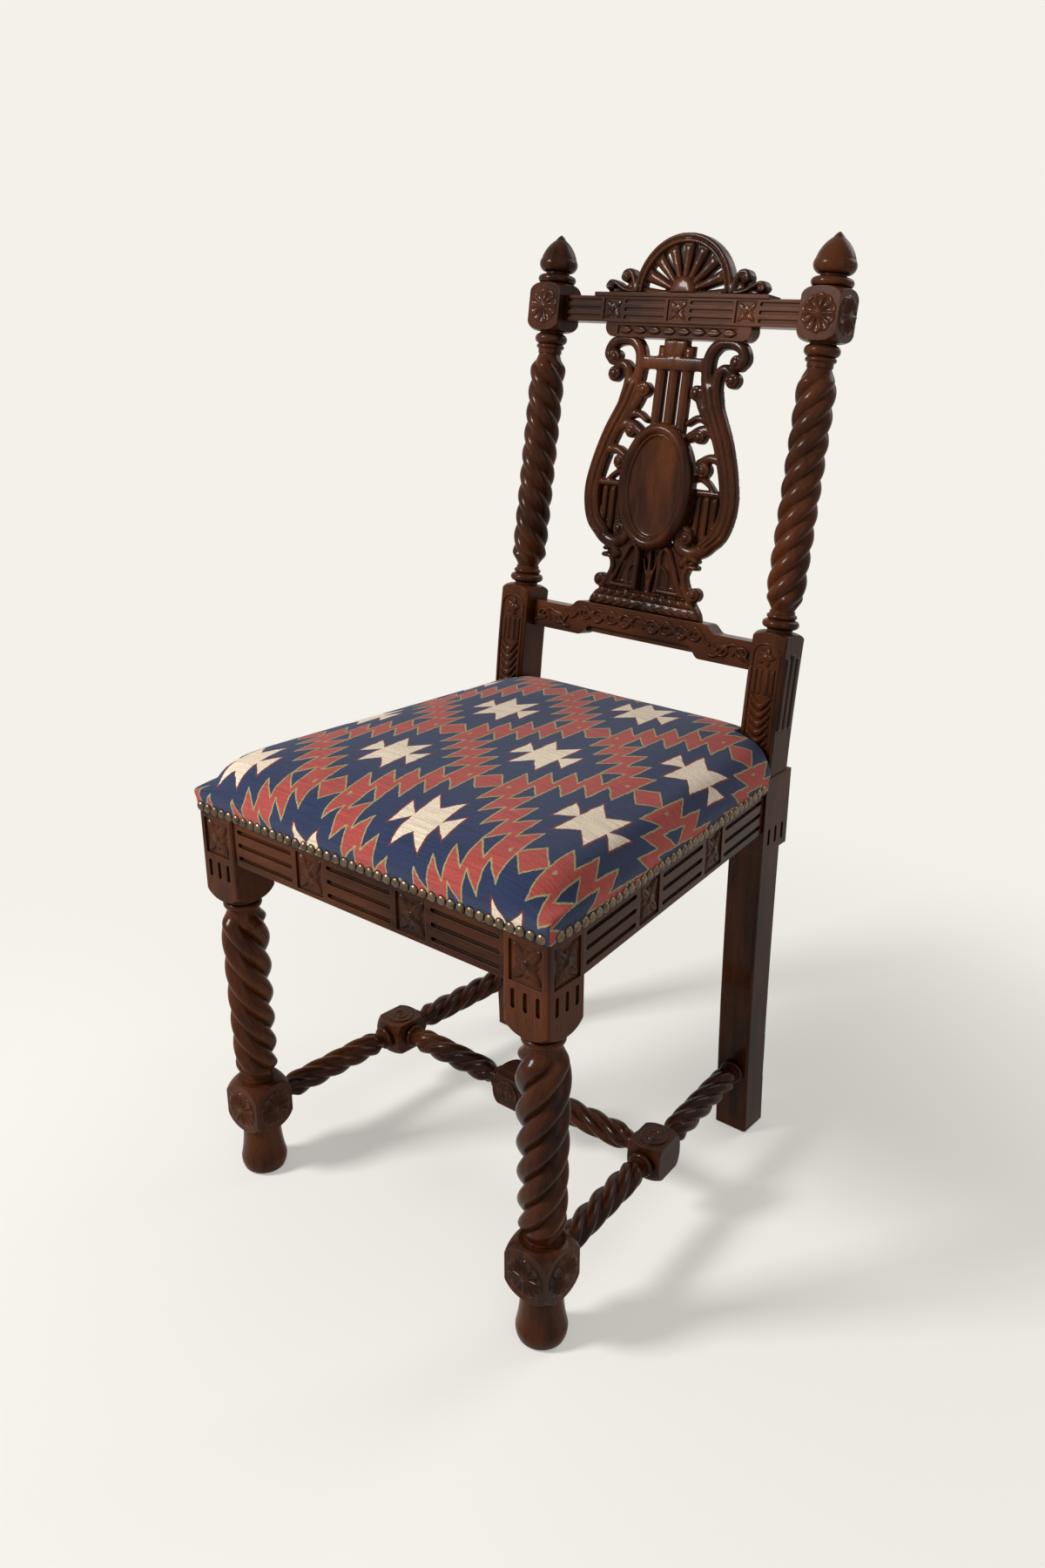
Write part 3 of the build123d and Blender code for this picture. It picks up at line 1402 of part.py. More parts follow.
with BuildPart() as dust_cover:
    with BuildSketch(Plane.XY.offset(rail_bottom)):
        with BuildLine():
            cloth_front = front_rail_y - rail_thickness / 2 + dust_cover_margin
            cloth_rear = rear_rail_y + rear_rail_thickness / 2 - dust_cover_margin
            bend_front = front_leg_y + front_block / 2 + cloth_clearance
            bend_rear = seat_block_front - cloth_clearance
            right_half = [
                (front_rail_half - cloth_clearance, cloth_front),
                (front_rail_half - cloth_clearance, bend_front),
                (seat_side_x(bend_front) - rail_reveal - dust_cover_margin, bend_front),
                (seat_side_x(bend_rear) - rail_reveal - dust_cover_margin, bend_rear),
                (rear_rail_half - cloth_clearance, bend_rear),
                (rear_rail_half - cloth_clearance, cloth_rear),
            ]
            left_half = [(-x, y) for x, y in reversed(right_half)]
            Polyline(*right_half, *left_half, close=True)
        make_face()
    extrude(amount=-dust_cover_thickness)
finish_piece(dust_cover, "dust_cover")


# Close-nailed brass domes along the lower edge of the cover
nail_sphere = nail_radius / math.cos(math.radians(nail_cap_angle))
nail_z = rail_top - nail_drop
nail_face_y = seat_front_y - cover_thickness
nail_front_half = front_leg_x + front_block / 2 - nail_radius
nail_front_count = int(2 * nail_front_half / nail_pitch) + 1
with BuildPart() as upholstery_nails_front:
    nail_row = Plane(origin=(0, nail_face_y - nail_lift, nail_z), x_dir=(1, 0, 0), z_dir=(0, -1, 0))
    with Locations(nail_row.location):
        with GridLocations(nail_pitch, 1, nail_front_count, 1):
            Sphere(nail_sphere, nail_cap_angle, 90, align=(Align.CENTER, Align.CENTER, Align.MIN))
finish_piece(upholstery_nails_front, "upholstery_nails_front")

nail_side_start = Vector(seat_side_x(side_rail_front.Y) + cover_thickness, side_rail_front.Y, nail_z)
nail_side_end = Vector(seat_side_x(notch_y) + cover_thickness, notch_y, nail_z)
nail_side_line = (nail_side_end - nail_side_start).normalized()
nail_side_normal = Vector(nail_side_line.Y, -nail_side_line.X, 0)
nail_side_run = (nail_side_end - nail_side_start).length - 2 * nail_radius
nail_side_count = int(nail_side_run / nail_pitch) + 1
with BuildPart() as upholstery_nails_right:
    for index in range(nail_side_count):
        run = nail_radius + index * nail_pitch
        spot = nail_side_start + nail_side_line * run + nail_side_normal * nail_lift
        with Locations(Plane(origin=spot, z_dir=nail_side_normal).location):
            Sphere(nail_sphere, nail_cap_angle, 90, align=(Align.CENTER, Align.CENTER, Align.MIN))
    block_nails = int((front_block - nail_radius) / nail_pitch)
    for index in range(block_nails):
        spot = nail_side_start + Vector(nail_lift, -nail_radius - index * nail_pitch, 0)
        with Locations(Plane(origin=spot, z_dir=(1, 0, 0)).location):
            Sphere(nail_sphere, nail_cap_angle, 90, align=(Align.CENTER, Align.CENTER, Align.MIN))
finish_piece(upholstery_nails_right, "upholstery_nails_right")

with BuildPart() as upholstery_nails_left:
    mirror(upholstery_nails_right.part, about=Plane.YZ)
finish_piece(upholstery_nails_left, "upholstery_nails_left")
print("nails", nail_front_count, nail_side_count, block_nails, len(upholstery_nails_right.part.solids()))


# Dark pads under the four feet
with BuildPart() as foot_glides:
    with Locations((front_leg_x, front_leg_y, 0)):
        Cylinder(front_glide_radius, glide_height, align=(Align.CENTER, Align.CENTER, Align.MIN))
    with Locations((rear_post_x, rear_leg_y(glide_height), 0)):
        Box(rear_glide_size, rear_glide_size, glide_height, align=(Align.CENTER, Align.CENTER, Align.MIN))
    mirror(about=Plane.YZ)
finish_piece(foot_glides, "foot_glides")
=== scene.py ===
# %% [markdown]
# # A carved side chair with rope twists
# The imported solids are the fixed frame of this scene. They already have the true sizes, the rope
# twists and the joints, so this lesson only adds what a solid model leaves out: stain and varnish,
# carved ornament, the stuffed seat with its woven cover, and the rows of brass nails.

# %% Load the frame
import math

import bmesh
import bpy
import numpy as np
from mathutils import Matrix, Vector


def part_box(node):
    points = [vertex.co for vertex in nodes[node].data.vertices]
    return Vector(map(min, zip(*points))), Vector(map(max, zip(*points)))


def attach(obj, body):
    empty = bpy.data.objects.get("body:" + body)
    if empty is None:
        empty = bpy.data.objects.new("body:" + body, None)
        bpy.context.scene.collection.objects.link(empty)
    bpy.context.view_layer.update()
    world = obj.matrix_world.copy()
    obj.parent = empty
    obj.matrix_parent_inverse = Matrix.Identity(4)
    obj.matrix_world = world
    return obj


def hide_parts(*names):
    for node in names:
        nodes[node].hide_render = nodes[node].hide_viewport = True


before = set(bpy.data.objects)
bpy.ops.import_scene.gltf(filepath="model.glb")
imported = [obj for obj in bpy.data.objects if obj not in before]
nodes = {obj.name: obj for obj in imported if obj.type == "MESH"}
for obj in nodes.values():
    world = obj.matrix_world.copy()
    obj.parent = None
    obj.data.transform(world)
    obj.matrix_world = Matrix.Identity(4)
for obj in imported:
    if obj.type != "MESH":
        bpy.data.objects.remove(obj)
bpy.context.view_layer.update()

import openvdb
from mathutils import Vector

# %% [markdown]
# A few small helpers serve the whole scene. Colours are written as sRGB hex values, as one reads them off
# a paint chart, and turned to the linear values that the shader works in. One function adds a node to
# any tree, sets what it is told and links what it is given, for shader and geometry trees alike. The
# others start a material, put an object in the scene and fetch a mesh with its modifiers carried out.

# %% Helpers
MM = 0.001


def linear(hex_colour):
    parts = [int(hex_colour[i:i + 2], 16) / 255 for i in (1, 3, 5)]
    return tuple(c / 12.92 if c <= 0.04045 else ((c + 0.055) / 1.055) ** 2.4 for c in parts) + (1.0,)


def add(tree, kind, inputs=None, **settings):
    """Adds one node; inputs maps a socket's name, identifier or place to a value or another socket."""
    made = tree.nodes.new(kind)
    for key, value in settings.items():
        setattr(made, key, value)
    for key, value in (inputs or {}).items():
        if isinstance(key, int):
            socket = made.inputs[key]
        else:
            socket = next(s for s in made.inputs if s.enabled and key in (s.identifier, s.name))
        if isinstance(value, bpy.types.NodeSocket):
            tree.links.new(value, socket)
        else:
            socket.default_value = value
    return made


def new_material(name):
    made = bpy.data.materials.new(name)
    made.use_nodes = True
    made.node_tree.nodes.clear()
    return made, made.node_tree


def put(name, data):
    """A new object in the scene, at the origin."""
    made = bpy.data.objects.new(name, data)
    bpy.context.scene.collection.objects.link(made)
    return made


def as_built(made):
    """New mesh of an object with its modifiers carried out."""
    bpy.context.view_layer.update()
    return bpy.data.meshes.new_from_object(made.evaluated_get(bpy.context.evaluated_depsgraph_get()))


print("helpers: 1 mm is", MM, "m")

# %% [markdown]
# The chair stands on a plain pale floor. Close to the chair the floor is an ordinary matt surface that
# takes its shadow; further out it fades into the same pale colour as the world, so that no horizon
# shows. A painted backdrop could do that too, but it would have an edge in other views. The fade is
# shown only to the camera and in gloss, so that it does not light the chair from below.

# %% Floor
PALE, FLOOR_PAINT = linear("#F4F1EA"), linear("#EFECE5")
FLOOR_RADIUS, FLOOR_SIDES = 14.0, 96
FADE_FROM, FADE_TO, NEAR_SHARE = 0.35, 1.2, 0.4


def seen_or_mirrored(tree):
    """1 for rays that show a surface to the camera, straight or through gloss or glass, else 0."""
    rays = add(tree, "ShaderNodeLightPath")
    shown = rays.outputs["Is Camera Ray"]
    for kind in ("Is Glossy Ray", "Is Transmission Ray"):
        shown = add(tree, "ShaderNodeMath", {0: shown, 1: rays.outputs[kind]}, operation="MAXIMUM").outputs[0]
    return shown


floor_mesh = bpy.data.meshes.new("floor")
floor_shape = bmesh.new()
bmesh.ops.create_circle(floor_shape, cap_ends=True, segments=FLOOR_SIDES, radius=FLOOR_RADIUS)
floor_shape.to_mesh(floor_mesh)
floor_shape.free()
floor = put("floor", floor_mesh)

floor_paint, tree = new_material("pale_studio_floor")
place = add(tree, "ShaderNodeTexCoord")
far = add(tree, "ShaderNodeVectorMath", {0: place.outputs["Object"]}, operation="LENGTH")
fade = add(tree, "ShaderNodeMapRange", {
    "Value": far.outputs["Value"], "From Min": FADE_FROM, "From Max": FADE_TO, "To Min": NEAR_SHARE},
    interpolation_type="SMOOTHSTEP")
share = add(tree, "ShaderNodeMath", {0: fade.outputs[0], 1: seen_or_mirrored(tree)}, operation="MULTIPLY")
matt = add(tree, "ShaderNodeBsdfDiffuse", {"Color": FLOOR_PAINT})
glow = add(tree, "ShaderNodeEmission", {"Color": PALE, "Strength": 1.0})
both = add(tree, "ShaderNodeMixShader", {0: share.outputs[0], 1: matt.outputs[0], 2: glow.outputs[0]})
add(tree, "ShaderNodeOutputMaterial", {"Surface": both.outputs[0]})
floor_mesh.materials.append(floor_paint)
print("floor fades out between", FADE_FROM, "and", FADE_TO, "m from the chair")

# %% [markdown]
# The world is the pale room around the chair. It is shown, and mirrored in varnish and brass, at the
# strength of white paper, but it lights the chair with less than a third of that: the lamps have to
# model the carving, and even light from all sides would flatten it.

# %% World
ROOM_LIGHT, ROOM_STRENGTH = linear("#F2F0EE"), 0.3
world = bpy.data.worlds.new("pale_room")
bpy.context.scene.world = world
world.use_nodes = True
tree = world.node_tree
tree.nodes.clear()
shown = add(tree, "ShaderNodeBackground", {"Color": PALE, "Strength": 1.0})
lit = add(tree, "ShaderNodeBackground", {"Color": ROOM_LIGHT, "Strength": ROOM_STRENGTH})
pick = add(tree, "ShaderNodeMixShader", {0: seen_or_mirrored(tree), 1: lit.outputs[0], 2: shown.outputs[0]})
add(tree, "ShaderNodeOutputWorld", {"Surface": pick.outputs[0]})
print("world lights at", ROOM_STRENGTH)

# %% [markdown]
# The camera stands where the photographer stood: its place and lens were solved from the chair's own
# mirror symmetry. A fairly small key lamp from the left front gives the varnish its crisp highlights, a
# weak fill opens the right side, and a lamp behind draws the outline of the back.

# %% Camera and lamps
LENS, SENSOR = 30.226, 36.0
CAMERA_SPOT, CAMERA_WAY = (0.8251, -1.0179, 0.9705), (-0.59367, 0.71504, -0.36916)
LAMP_TARGET = Vector((0, 0, 0.5))
LAMPS = [
    ("key_lamp", (-1.5, -2.3, 2.3), 0.7, 116.0),
    ("fill_lamp", (2.3, -1.3, 1.5), 1.8, 7.0),
    ("back_lamp", (0.9, 2.4, 2.4), 1.6, 26.0),
]


def facing(way):
    """Rotation that points a camera or a lamp along the way given."""
    return Vector(way).to_track_quat("-Z", "Y").to_euler()


camera_data = bpy.data.cameras.new("camera")
camera_data.lens = LENS
camera_data.sensor_width = SENSOR
camera = put("camera", camera_data)
camera.location = CAMERA_SPOT
camera.rotation_euler = facing(CAMERA_WAY)
bpy.context.scene.camera = camera
bpy.context.scene.view_settings.view_transform = "Standard"
for lamp_name, spot, width, watts in LAMPS:
    lamp_data = bpy.data.lights.new(lamp_name, "AREA")
    lamp_data.energy = watts
    lamp_data.size = width
    lamp = put(lamp_name, lamp_data)
    lamp.location = spot
    lamp.rotation_euler = facing(LAMP_TARGET - Vector(spot))
print("camera and", len(LAMPS), "lamps")

# %% [markdown]
# The wood is a hard, close-grained timber under a dark reddish-brown stain and a satin-gloss varnish.
# Stain gathers in the carved hollows and is rubbed thin on the edges, and the finish adds painted light
# to read the shape: an occlusion lookup paints shade into the hollows over that stain, and a bevel lookup
# lightens the arrises, partly as wear and partly as a painted highlight. Painted masks could do the same,
# but would have to be drawn for every piece. The layers are one table, from the ground colour up. The
# grain runs along each piece, so there is one version of the finish per direction.

# %% Stained wood
STAIN_DARK, STAIN_MID, STAIN_WARM = linear("#1C0B05"), linear("#3B1C0C"), linear("#5E3013")
# Darkest colour: deep stain in the pores, and painted shade with stain in the carved hollows
DEEP_STAIN_AND_SHADE, WORN_AND_HIGHLIT = linear("#100602"), linear("#7A4822")
EDGE_MM, HOLLOW_MM, PORE_DEPTH_MM = 1.4, 14.0, 0.15
# Grain patterns: width across and length along the grain in mm, detail
GRAIN = [
    ("figure", (9.0, 160.0), 4.0),
    ("pore", (1.1, 16.0), 2.0),
    ("blotch", (70.0, 150.0), 2.0),
]
# Layers: what is read, where the layer starts, where it is full, how much it covers, its colour
LAYERS = [
    ("figure", 0.32, 0.68, 1.0, STAIN_MID),
    ("blotch", 0.42, 0.75, 0.75, STAIN_WARM),
    ("pore", 0.56, 0.68, 0.55, DEEP_STAIN_AND_SHADE),
    # Edge layer: stain worn thin on the arrises, lightened further as a painted highlight
    ("edge", 0.985, 0.80, 0.5, WORN_AND_HIGHLIT),
    # Hollow layer: painted shade from the occlusion lookup, with the stain that gathers in the hollows
    ("hollow_shade_and_stain", 0.78, 0.25, 0.9, DEEP_STAIN_AND_SHADE),
]


def grain_scale(size, along):
    """Mapping scale that gives a pattern its width across the grain and its length along it, in mm."""
    scale = [1 / (size[0] * MM)] * 3
    scale[along] = 1 / (size[1] * MM)
    return scale


def stained_wood(name, along):
    made, tree = new_material(name)
    place = add(tree, "ShaderNodeTexCoord")
    read = {}
    for key, size, detail in GRAIN:
        turned = add(tree, "ShaderNodeMapping", {
            "Vector": place.outputs["Object"], "Scale": grain_scale(size, along)})
        read[key] = add(tree, "ShaderNodeTexNoise", {
            "Vector": turned.outputs[0], "Scale": 1.0, "Detail": detail, "Roughness": 0.55,
            "Distortion": 0.25}).outputs[0]
    soft_edge = add(tree, "ShaderNodeBevel", {"Radius": EDGE_MM * MM}, samples=4)
    face = add(tree, "ShaderNodeNewGeometry")
    # The bevel lookup finds the arrises, which are painted lighter as wear and as a painted highlight
    read["edge"] = add(tree, "ShaderNodeVectorMath", {
        0: soft_edge.outputs[0], 1: face.outputs["Normal"]}, operation="DOT_PRODUCT").outputs["Value"]
    # Occlusion lookup for the painted shade in the hollows
    read["hollow_shade_and_stain"] = add(tree, "ShaderNodeAmbientOcclusion", {"Distance": HOLLOW_MM * MM},
                         samples=6, only_local=False).outputs["AO"]
    colour, cover = STAIN_DARK, {}
    for key, start, full, most, paint in LAYERS:
        cover[key] = add(tree, "ShaderNodeMapRange", {
            "Value": read[key], "From Min": start, "From Max": full, "To Max": most}).outputs[0]
        layer = add(tree, "ShaderNodeMix", {
            "Factor_Float": cover[key], "A_Color": colour, "B_Color": paint}, data_type="RGBA")
        colour = layer.outputs[2]
    # Varnish is a little uneven all over, and duller in the hollows that the occlusion lookup finds
    sheen = add(tree, "ShaderNodeMapRange", {"Value": read["blotch"], "To Min": 0.22, "To Max": 0.34})
    rough = add(tree, "ShaderNodeMath", {0: cover["hollow_shade_and_stain"], 1: 0.25, 2: sheen.outputs[0]},
                operation="MULTIPLY_ADD")
    relief = add(tree, "ShaderNodeBump", {
        "Strength": 0.25, "Distance": PORE_DEPTH_MM * MM, "Height": read["pore"],
        "Normal": soft_edge.outputs[0]}, invert=True)
    varnish = add(tree, "ShaderNodeBsdfPrincipled", {
        "Base Color": colour, "Roughness": rough.outputs[0], "Normal": relief.outputs[0], "IOR": 1.45,
        "Specular IOR Level": 0.06, "Coat Weight": 0.1, "Coat Roughness": 0.07, "Coat IOR": 1.5})
    add(tree, "ShaderNodeOutputMaterial", {"Surface": varnish.outputs[0]})
    return made


wood_across = stained_wood("stained_hardwood_across", 0)
wood_deep = stained_wood("stained_hardwood_front_to_back", 1)
wood_up = stained_wood("stained_hardwood_upright", 2)

ACROSS = ["front_seat_rail", "rear_seat_rail", "lower_back_rail", "crest_rail", "cross_stretcher"]
DEEP = ["side_seat_rail_left", "side_seat_rail_right", "side_stretcher_left", "side_stretcher_right"]
UPRIGHT = ["front_leg_left", "front_leg_right", "rear_post_left", "rear_post_right", "finial_left",
           "finial_right", "lyre_splat", "oval_medallion", "fan_cresting"]


def give(names, finish):
    for name in names:
        nodes[name].data.materials.clear()
        nodes[name].data.materials.append(finish)


give(ACROSS, wood_across)
give(DEEP, wood_deep)
give(UPRIGHT, wood_up)
print("stained wood on", len(ACROSS) + len(DEEP) + len(UPRIGHT), "solids")

# %% [markdown]
# Everything carved on the back lies in one raked plane, so the carving is laid out flat, in mm across
# (x), up the rake (v) and out to the front (w), and then placed. The posts bend up to that rake below
# the lower rail, so the ornament of the stiles follows an arc instead.

# %% Places on the back
RAKE = math.radians(9.2)
BACK_Y, BACK_Z = 188.796, 594.02
POST_X, POST_Y = 173.0, 169.5
BEND_RADIUS, BEND_Z = 1500.0, 354.2


def on_back(x, v, w):
    return np.stack((x, BACK_Y + v * math.sin(RAKE) - w * math.cos(RAKE),
                     BACK_Z + v * math.cos(RAKE) + w * math.sin(RAKE)), axis=-1)


def on_stile(side, x, s, w):
    """Front of a stile: s runs up the bend of the post, w out from its axis."""
    turn = np.minimum(s / BEND_RADIUS, RAKE)
    past = np.maximum(s - BEND_RADIUS * RAKE, 0)
    y = POST_Y + BEND_RADIUS * (1 - np.cos(turn)) + past * math.sin(RAKE) - w * np.cos(turn)
    z = BEND_Z + BEND_RADIUS * np.sin(turn) + past * math.cos(RAKE) + w * np.sin(turn)
    return np.stack((side * POST_X + x, y, z), axis=-1)


print("back plane starts", BACK_Z, "mm up and leans", round(math.degrees(RAKE), 1), "degrees")

# %% [markdown]
# A carver draws the outline, saws it out, then rounds each form from its edge inward. The layout below
# does the same on a grid: it keeps the distance to the outline and the height of the front. Strokes
# with a changing width draw the scrolls. A pierced carving is turned into a surface through a volume
# grid; low relief on a flat face is simply the front of the grid.

# %% Carving tools
def curve_through(points, steps=10):
    """Smooth curve through given points, one cubic for each span."""
    p = np.array(points, float)
    p = np.vstack([2 * p[0] - p[1], p, 2 * p[-1] - p[-2]])
    t = np.linspace(0, 1, steps, endpoint=False)[:, None]
    runs = []
    for a, b, c, d in zip(p, p[1:], p[2:], p[3:]):
        square, cube = 2 * a - 5 * b + 4 * c - d, 3 * b - a - 3 * c + d
        runs.append(0.5 * (2 * b + (c - a) * t + square * t ** 2 + cube * t ** 3))
    return np.vstack(runs + [p[-2:-1]])


def nearest_share(x, v, start, end):
    """How far along a straight run the nearest point lies, from 0 to 1, and the distance to it."""
    (ax, ay), (bx, by) = start, end
    length = max((bx - ax) ** 2 + (by - ay) ** 2, 1e-9)
    along = np.clip(((x - ax) * (bx - ax) + (v - ay) * (by - ay)) / length, 0, 1)
    return along, np.hypot(x - ax - along * (bx - ax), v - ay - along * (by - ay))


def stroke(x, v, points, start_width, end_width):
    """Distance to the edge of a brush stroke through the points, and its half width, at each place."""
    line = curve_through(points)
    half = np.linspace(start_width, end_width, len(line)) / 2
    best = np.full(x.shape, 1e6)
    width = np.full(x.shape, half[0])
    for start, end, start_half, end_half in zip(line, line[1:], half, half[1:]):
        along, gap = nearest_share(x, v, start, end)
        here = start_half + (end_half - start_half) * along
        gap = gap - here
        nearer = gap < best
        best = np.where(nearer, gap, best)
        width = np.where(nearer, here, width)
    return best, width


def polygon(x, v, points):
    """Distance to the edge of a closed outline, negative inside."""
    best = np.full(x.shape, 1e6)
    odd = np.zeros(x.shape, bool)
    for (ax, ay), (bx, by) in zip(points, points[1:] + points[:1]):
        best = np.minimum(best, nearest_share(x, v, (ax, ay), (bx, by))[1])
        if ay != by:
            odd ^= ((ay > v) != (by > v)) & (x < ax + (v - ay) * (bx - ax) / (by - ay))
    return np.where(odd, -best, best)


def box_edge(x, v, left, right, bottom, top):
    return np.maximum(np.abs(x - (left + right) / 2) - (right - left) / 2,
                      np.abs(v - (bottom + top) / 2) - (top - bottom) / 2)


def open_net(rows, columns):
    """Quads of a net with four free edges, as rows of four point numbers."""
    index = np.arange(rows * columns).reshape(rows, columns)
    corners = (index[:-1, :-1], index[1:, :-1], index[1:, 1:], index[:-1, 1:])
    return np.stack(corners, axis=-1).reshape(-1, 4)


def closed_net(rows, columns):
    """Quads of a net whose rows close around."""
    faces = []
    for row in range(rows - 1):
        for column in range(columns):
            here, beside = row * columns + column, row * columns + (column + 1) % columns
            faces.append((here, beside, beside + columns, here + columns))
    return faces


print("tools: curve, stroke, polygon, box and two kinds of net")

# %% [markdown]
# The board being carved is one grid. Its edge field says where the wood ends, its front says how far the
# carving stands out; every form that is added takes the nearer edge and the higher front, as a carver
# leaves the highest wood standing. Sculpted meshes would be an alternative, but a grid has no seams.

# %% The carver's board
NOWHERE, FALL_OFF = 99.0, 4
# Low relief starts this far under its ground and keeps a narrow skirt below it, so that no gap shows
RIM, SKIRT_DEPTH, SKIRT_CUT = -0.2, 0.6, 0.55


class Relief:
    """Carving on a flat grid, in mm: distance to its outline and height of its front."""

    def __init__(self, across, up, cell):
        self.cell = cell
        self.x, self.v = np.meshgrid(np.arange(*across, cell), np.arange(*up, cell), indexing="ij")
        self.edge = np.full_like(self.x, NOWHERE)
        self.front = np.full_like(self.x, -NOWHERE)

    def raise_form(self, edge, rim, crown, width):
        """Joins a form whose front climbs in a quarter round from its rim, over the given width."""
        rise = np.clip(-edge / width, 0, 1)
        top = rim + crown * np.sqrt(1 - (1 - rise) ** 2) - FALL_OFF * np.maximum(edge, 0)
        self.edge = np.minimum(self.edge, edge)
        self.front = np.maximum(self.front, top)

    def draw(self, x, points, start_width, end_width, rim, crown):
        edge, half = stroke(x, self.v, points, start_width, end_width)
        self.raise_form(edge, rim, crown, half)

    def ball(self, x, centre, radius, rim, crown):
        self.raise_form(np.hypot(x - centre[0], self.v - centre[1]) - radius, rim, crown, radius)

    def groove(self, edge, depth, width):
        """Sinks a round-bottomed groove inside the given outline."""
        sunk = np.clip(-edge / width, 0, 1)
        self.front = self.front - depth * np.sqrt(1 - (1 - sunk) ** 2)

    def pierce(self, edge):
        """Saws out what lies inside the given outline."""
        self.edge = np.maximum(self.edge, -edge)
        self.front = np.where(edge < 0, -NOWHERE, self.front)

    def sawn(self, back):
        """Closed surface of a pierced carving, down to a flat back."""
        w = np.arange(back - 2 * self.cell, self.front.max() + 3 * self.cell, self.cell)
        field = np.maximum(np.maximum(self.edge[..., None], w - self.front[..., None]), back - w)
        grid = openvdb.FloatGrid(1.0)
        grid.copyFromArray(np.clip(field, -9, 9).astype(np.float32))
        points, triangles, quads = grid.convertToPolygons(isovalue=0.0, adaptivity=0.02)
        points = points * self.cell + (self.x[0, 0], self.v[0, 0], w[0])
        return points, [tuple(face) for face in triangles] + [tuple(face) for face in quads]

    def low_relief(self, ground):
        """Front of a low carving, without the parts that lie below the ground."""
        faces = open_net(*self.x.shape)
        height = np.maximum(self.front, ground - SKIRT_DEPTH).reshape(-1)
        faces = faces[(height[faces] > ground - SKIRT_CUT).any(axis=1)]
        used = np.unique(faces)
        points = np.stack((self.x.reshape(-1), self.v.reshape(-1), height), axis=-1)[used]
        return points, [tuple(face) for face in np.searchsorted(used, faces)]


def piece(name, points, faces, finish, rounds=0):
    """One finished piece from points in mm; rounds of smoothing take the marks of the grid away."""
    mesh = bpy.data.meshes.new(name)
    mesh.from_pydata((np.asarray(points) * MM).tolist(), [], faces)
    shape = bmesh.new()
    shape.from_mesh(mesh)
    for _ in range(rounds):
        bmesh.ops.smooth_vert(shape, verts=shape.verts, factor=0.5,
                              use_axis_x=True, use_axis_y=True, use_axis_z=True)
    bmesh.ops.recalc_face_normals(shape, faces=shape.faces)
    shape.to_mesh(mesh)
    shape.free()
    mesh.polygons.foreach_set("use_smooth", [True] * len(mesh.polygons))
    mesh.materials.append(finish)
    made = put(name, mesh)
    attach(made, "root")
    print(name, len(mesh.polygons), "faces")
    return made


# %% [markdown]
# The lyre was sawn from one board and carved from the front. Two strong S-shaped arms carry it, rolled
# out at the top and in at the foot; pipes and strings run between them, and leaves and C-scrolls fill
# the gaps. The left half mirrors the right, so it is drawn once on the distance from the middle. First
# come the flat grounds: behind the medallion, at the strings, the pipes and the cross bars.

# %% Lyre: grounds, strings and pipes
SPLAT_FOOT, SPLAT_HEIGHT, SPLAT_HALF, SPLAT_BACK = 8.0, 294.0, 101, -7.0
lyre = Relief((-SPLAT_HALF, SPLAT_HALF), (0, SPLAT_HEIGHT + 1), 0.95)
half_x, up = np.abs(lyre.x), lyre.v
lyre.raise_form(np.hypot(half_x, (up - 138) * 45 / 66) - 45, 6.4, 0.4, 2)
lyre.raise_form(polygon(half_x, up, [(38, 134), (86, 134), (84, 100), (70, 82), (38, 76)]), -5.2, 0.6, 2)
for string_x, string_foot in ((51, 78), (62, 80), (73, 90), (83, 104)):
    lyre.raise_form(box_edge(half_x, up, string_x - 4.2, string_x + 4.2, string_foot, 134), -5, 5.0, 4.2)
lyre.raise_form(box_edge(half_x, up, 38, 91, 133.5, 141), -1, 4.0, 3.6)
for pipe_x, pipe_top in ((0, 292), (16.6, 288)):
    lyre.raise_form(box_edge(half_x, up, pipe_x - 6.8, pipe_x + 6.8, 176, pipe_top), -3.5, 6.0, 6.8)
PIPE_WEDGE = [(-1, 274), (9, 274), (15, 286), (15, 294), (-1, 294)]
lyre.raise_form(polygon(half_x, up, PIPE_WEDGE), 1.0, 3.5, 3.5)
lyre.raise_form(box_edge(half_x, up, -1, 46, 262, 276), 2.4, 2.2, 3)
print("lyre board", lyre.x.shape, "cells of", lyre.cell, "mm")

# %% [markdown]
# The arms, lips and C-scrolls are strokes like those of a broad pen, and each rolled end is a ball. The
# points are given in mm from the middle of the splat and up from its foot.

# %% Lyre: arms and scrolls
# Strokes: points, width at the start and end, height of the rim and rise of the crown
ARM = [(49, 244), (57, 222), (73, 190), (85, 155), (90, 125), (84, 97), (68, 80)]
INNER_LIP = [(52, 232), (45, 250), (43, 268), (46, 282), (56, 291), (70, 292), (82, 287), (87, 277),
             (82, 270)]
OUTER_LIP = [(60, 226), (56, 246), (58, 260), (66, 266), (75, 260)]
STROKES = [
    (ARM, 24, 19, 0, 6.4),
    (INNER_LIP, 15, 12, 0, 6.0),
    (OUTER_LIP, 15, 10, 0, 6.0),
    ([(84, 97), (68, 78), (52, 72), (38, 77), (33, 88), (39, 98), (48, 95)], 18, 8, 0, 5.8),
    ([(70, 196), (56, 212), (44, 224), (36, 238)], 16, 11, -1, 6.0),
    ([(66, 204), (50, 212), (38, 214), (27, 208)], 11, 7, -1.5, 5.0),
    ([(78, 184), (60, 199), (46, 202), (32, 194)], 11, 12, -1, 5.2),
    ([(89, 136), (85, 157), (76, 170), (62, 174), (49, 168)], 11, 10, 0, 5.4),
    ([(40, 150), (52, 152), (62, 147), (70, 140)], 9, 6, -2, 4.4),
]
BALLS = [((78, 273), 8.2), ((76, 255), 8.8), ((45, 88), 8.6), ((34, 240), 8.6), ((45, 195), 7.6),
         ((55, 161), 8.8)]
for drawn in STROKES:
    lyre.draw(half_x, *drawn)
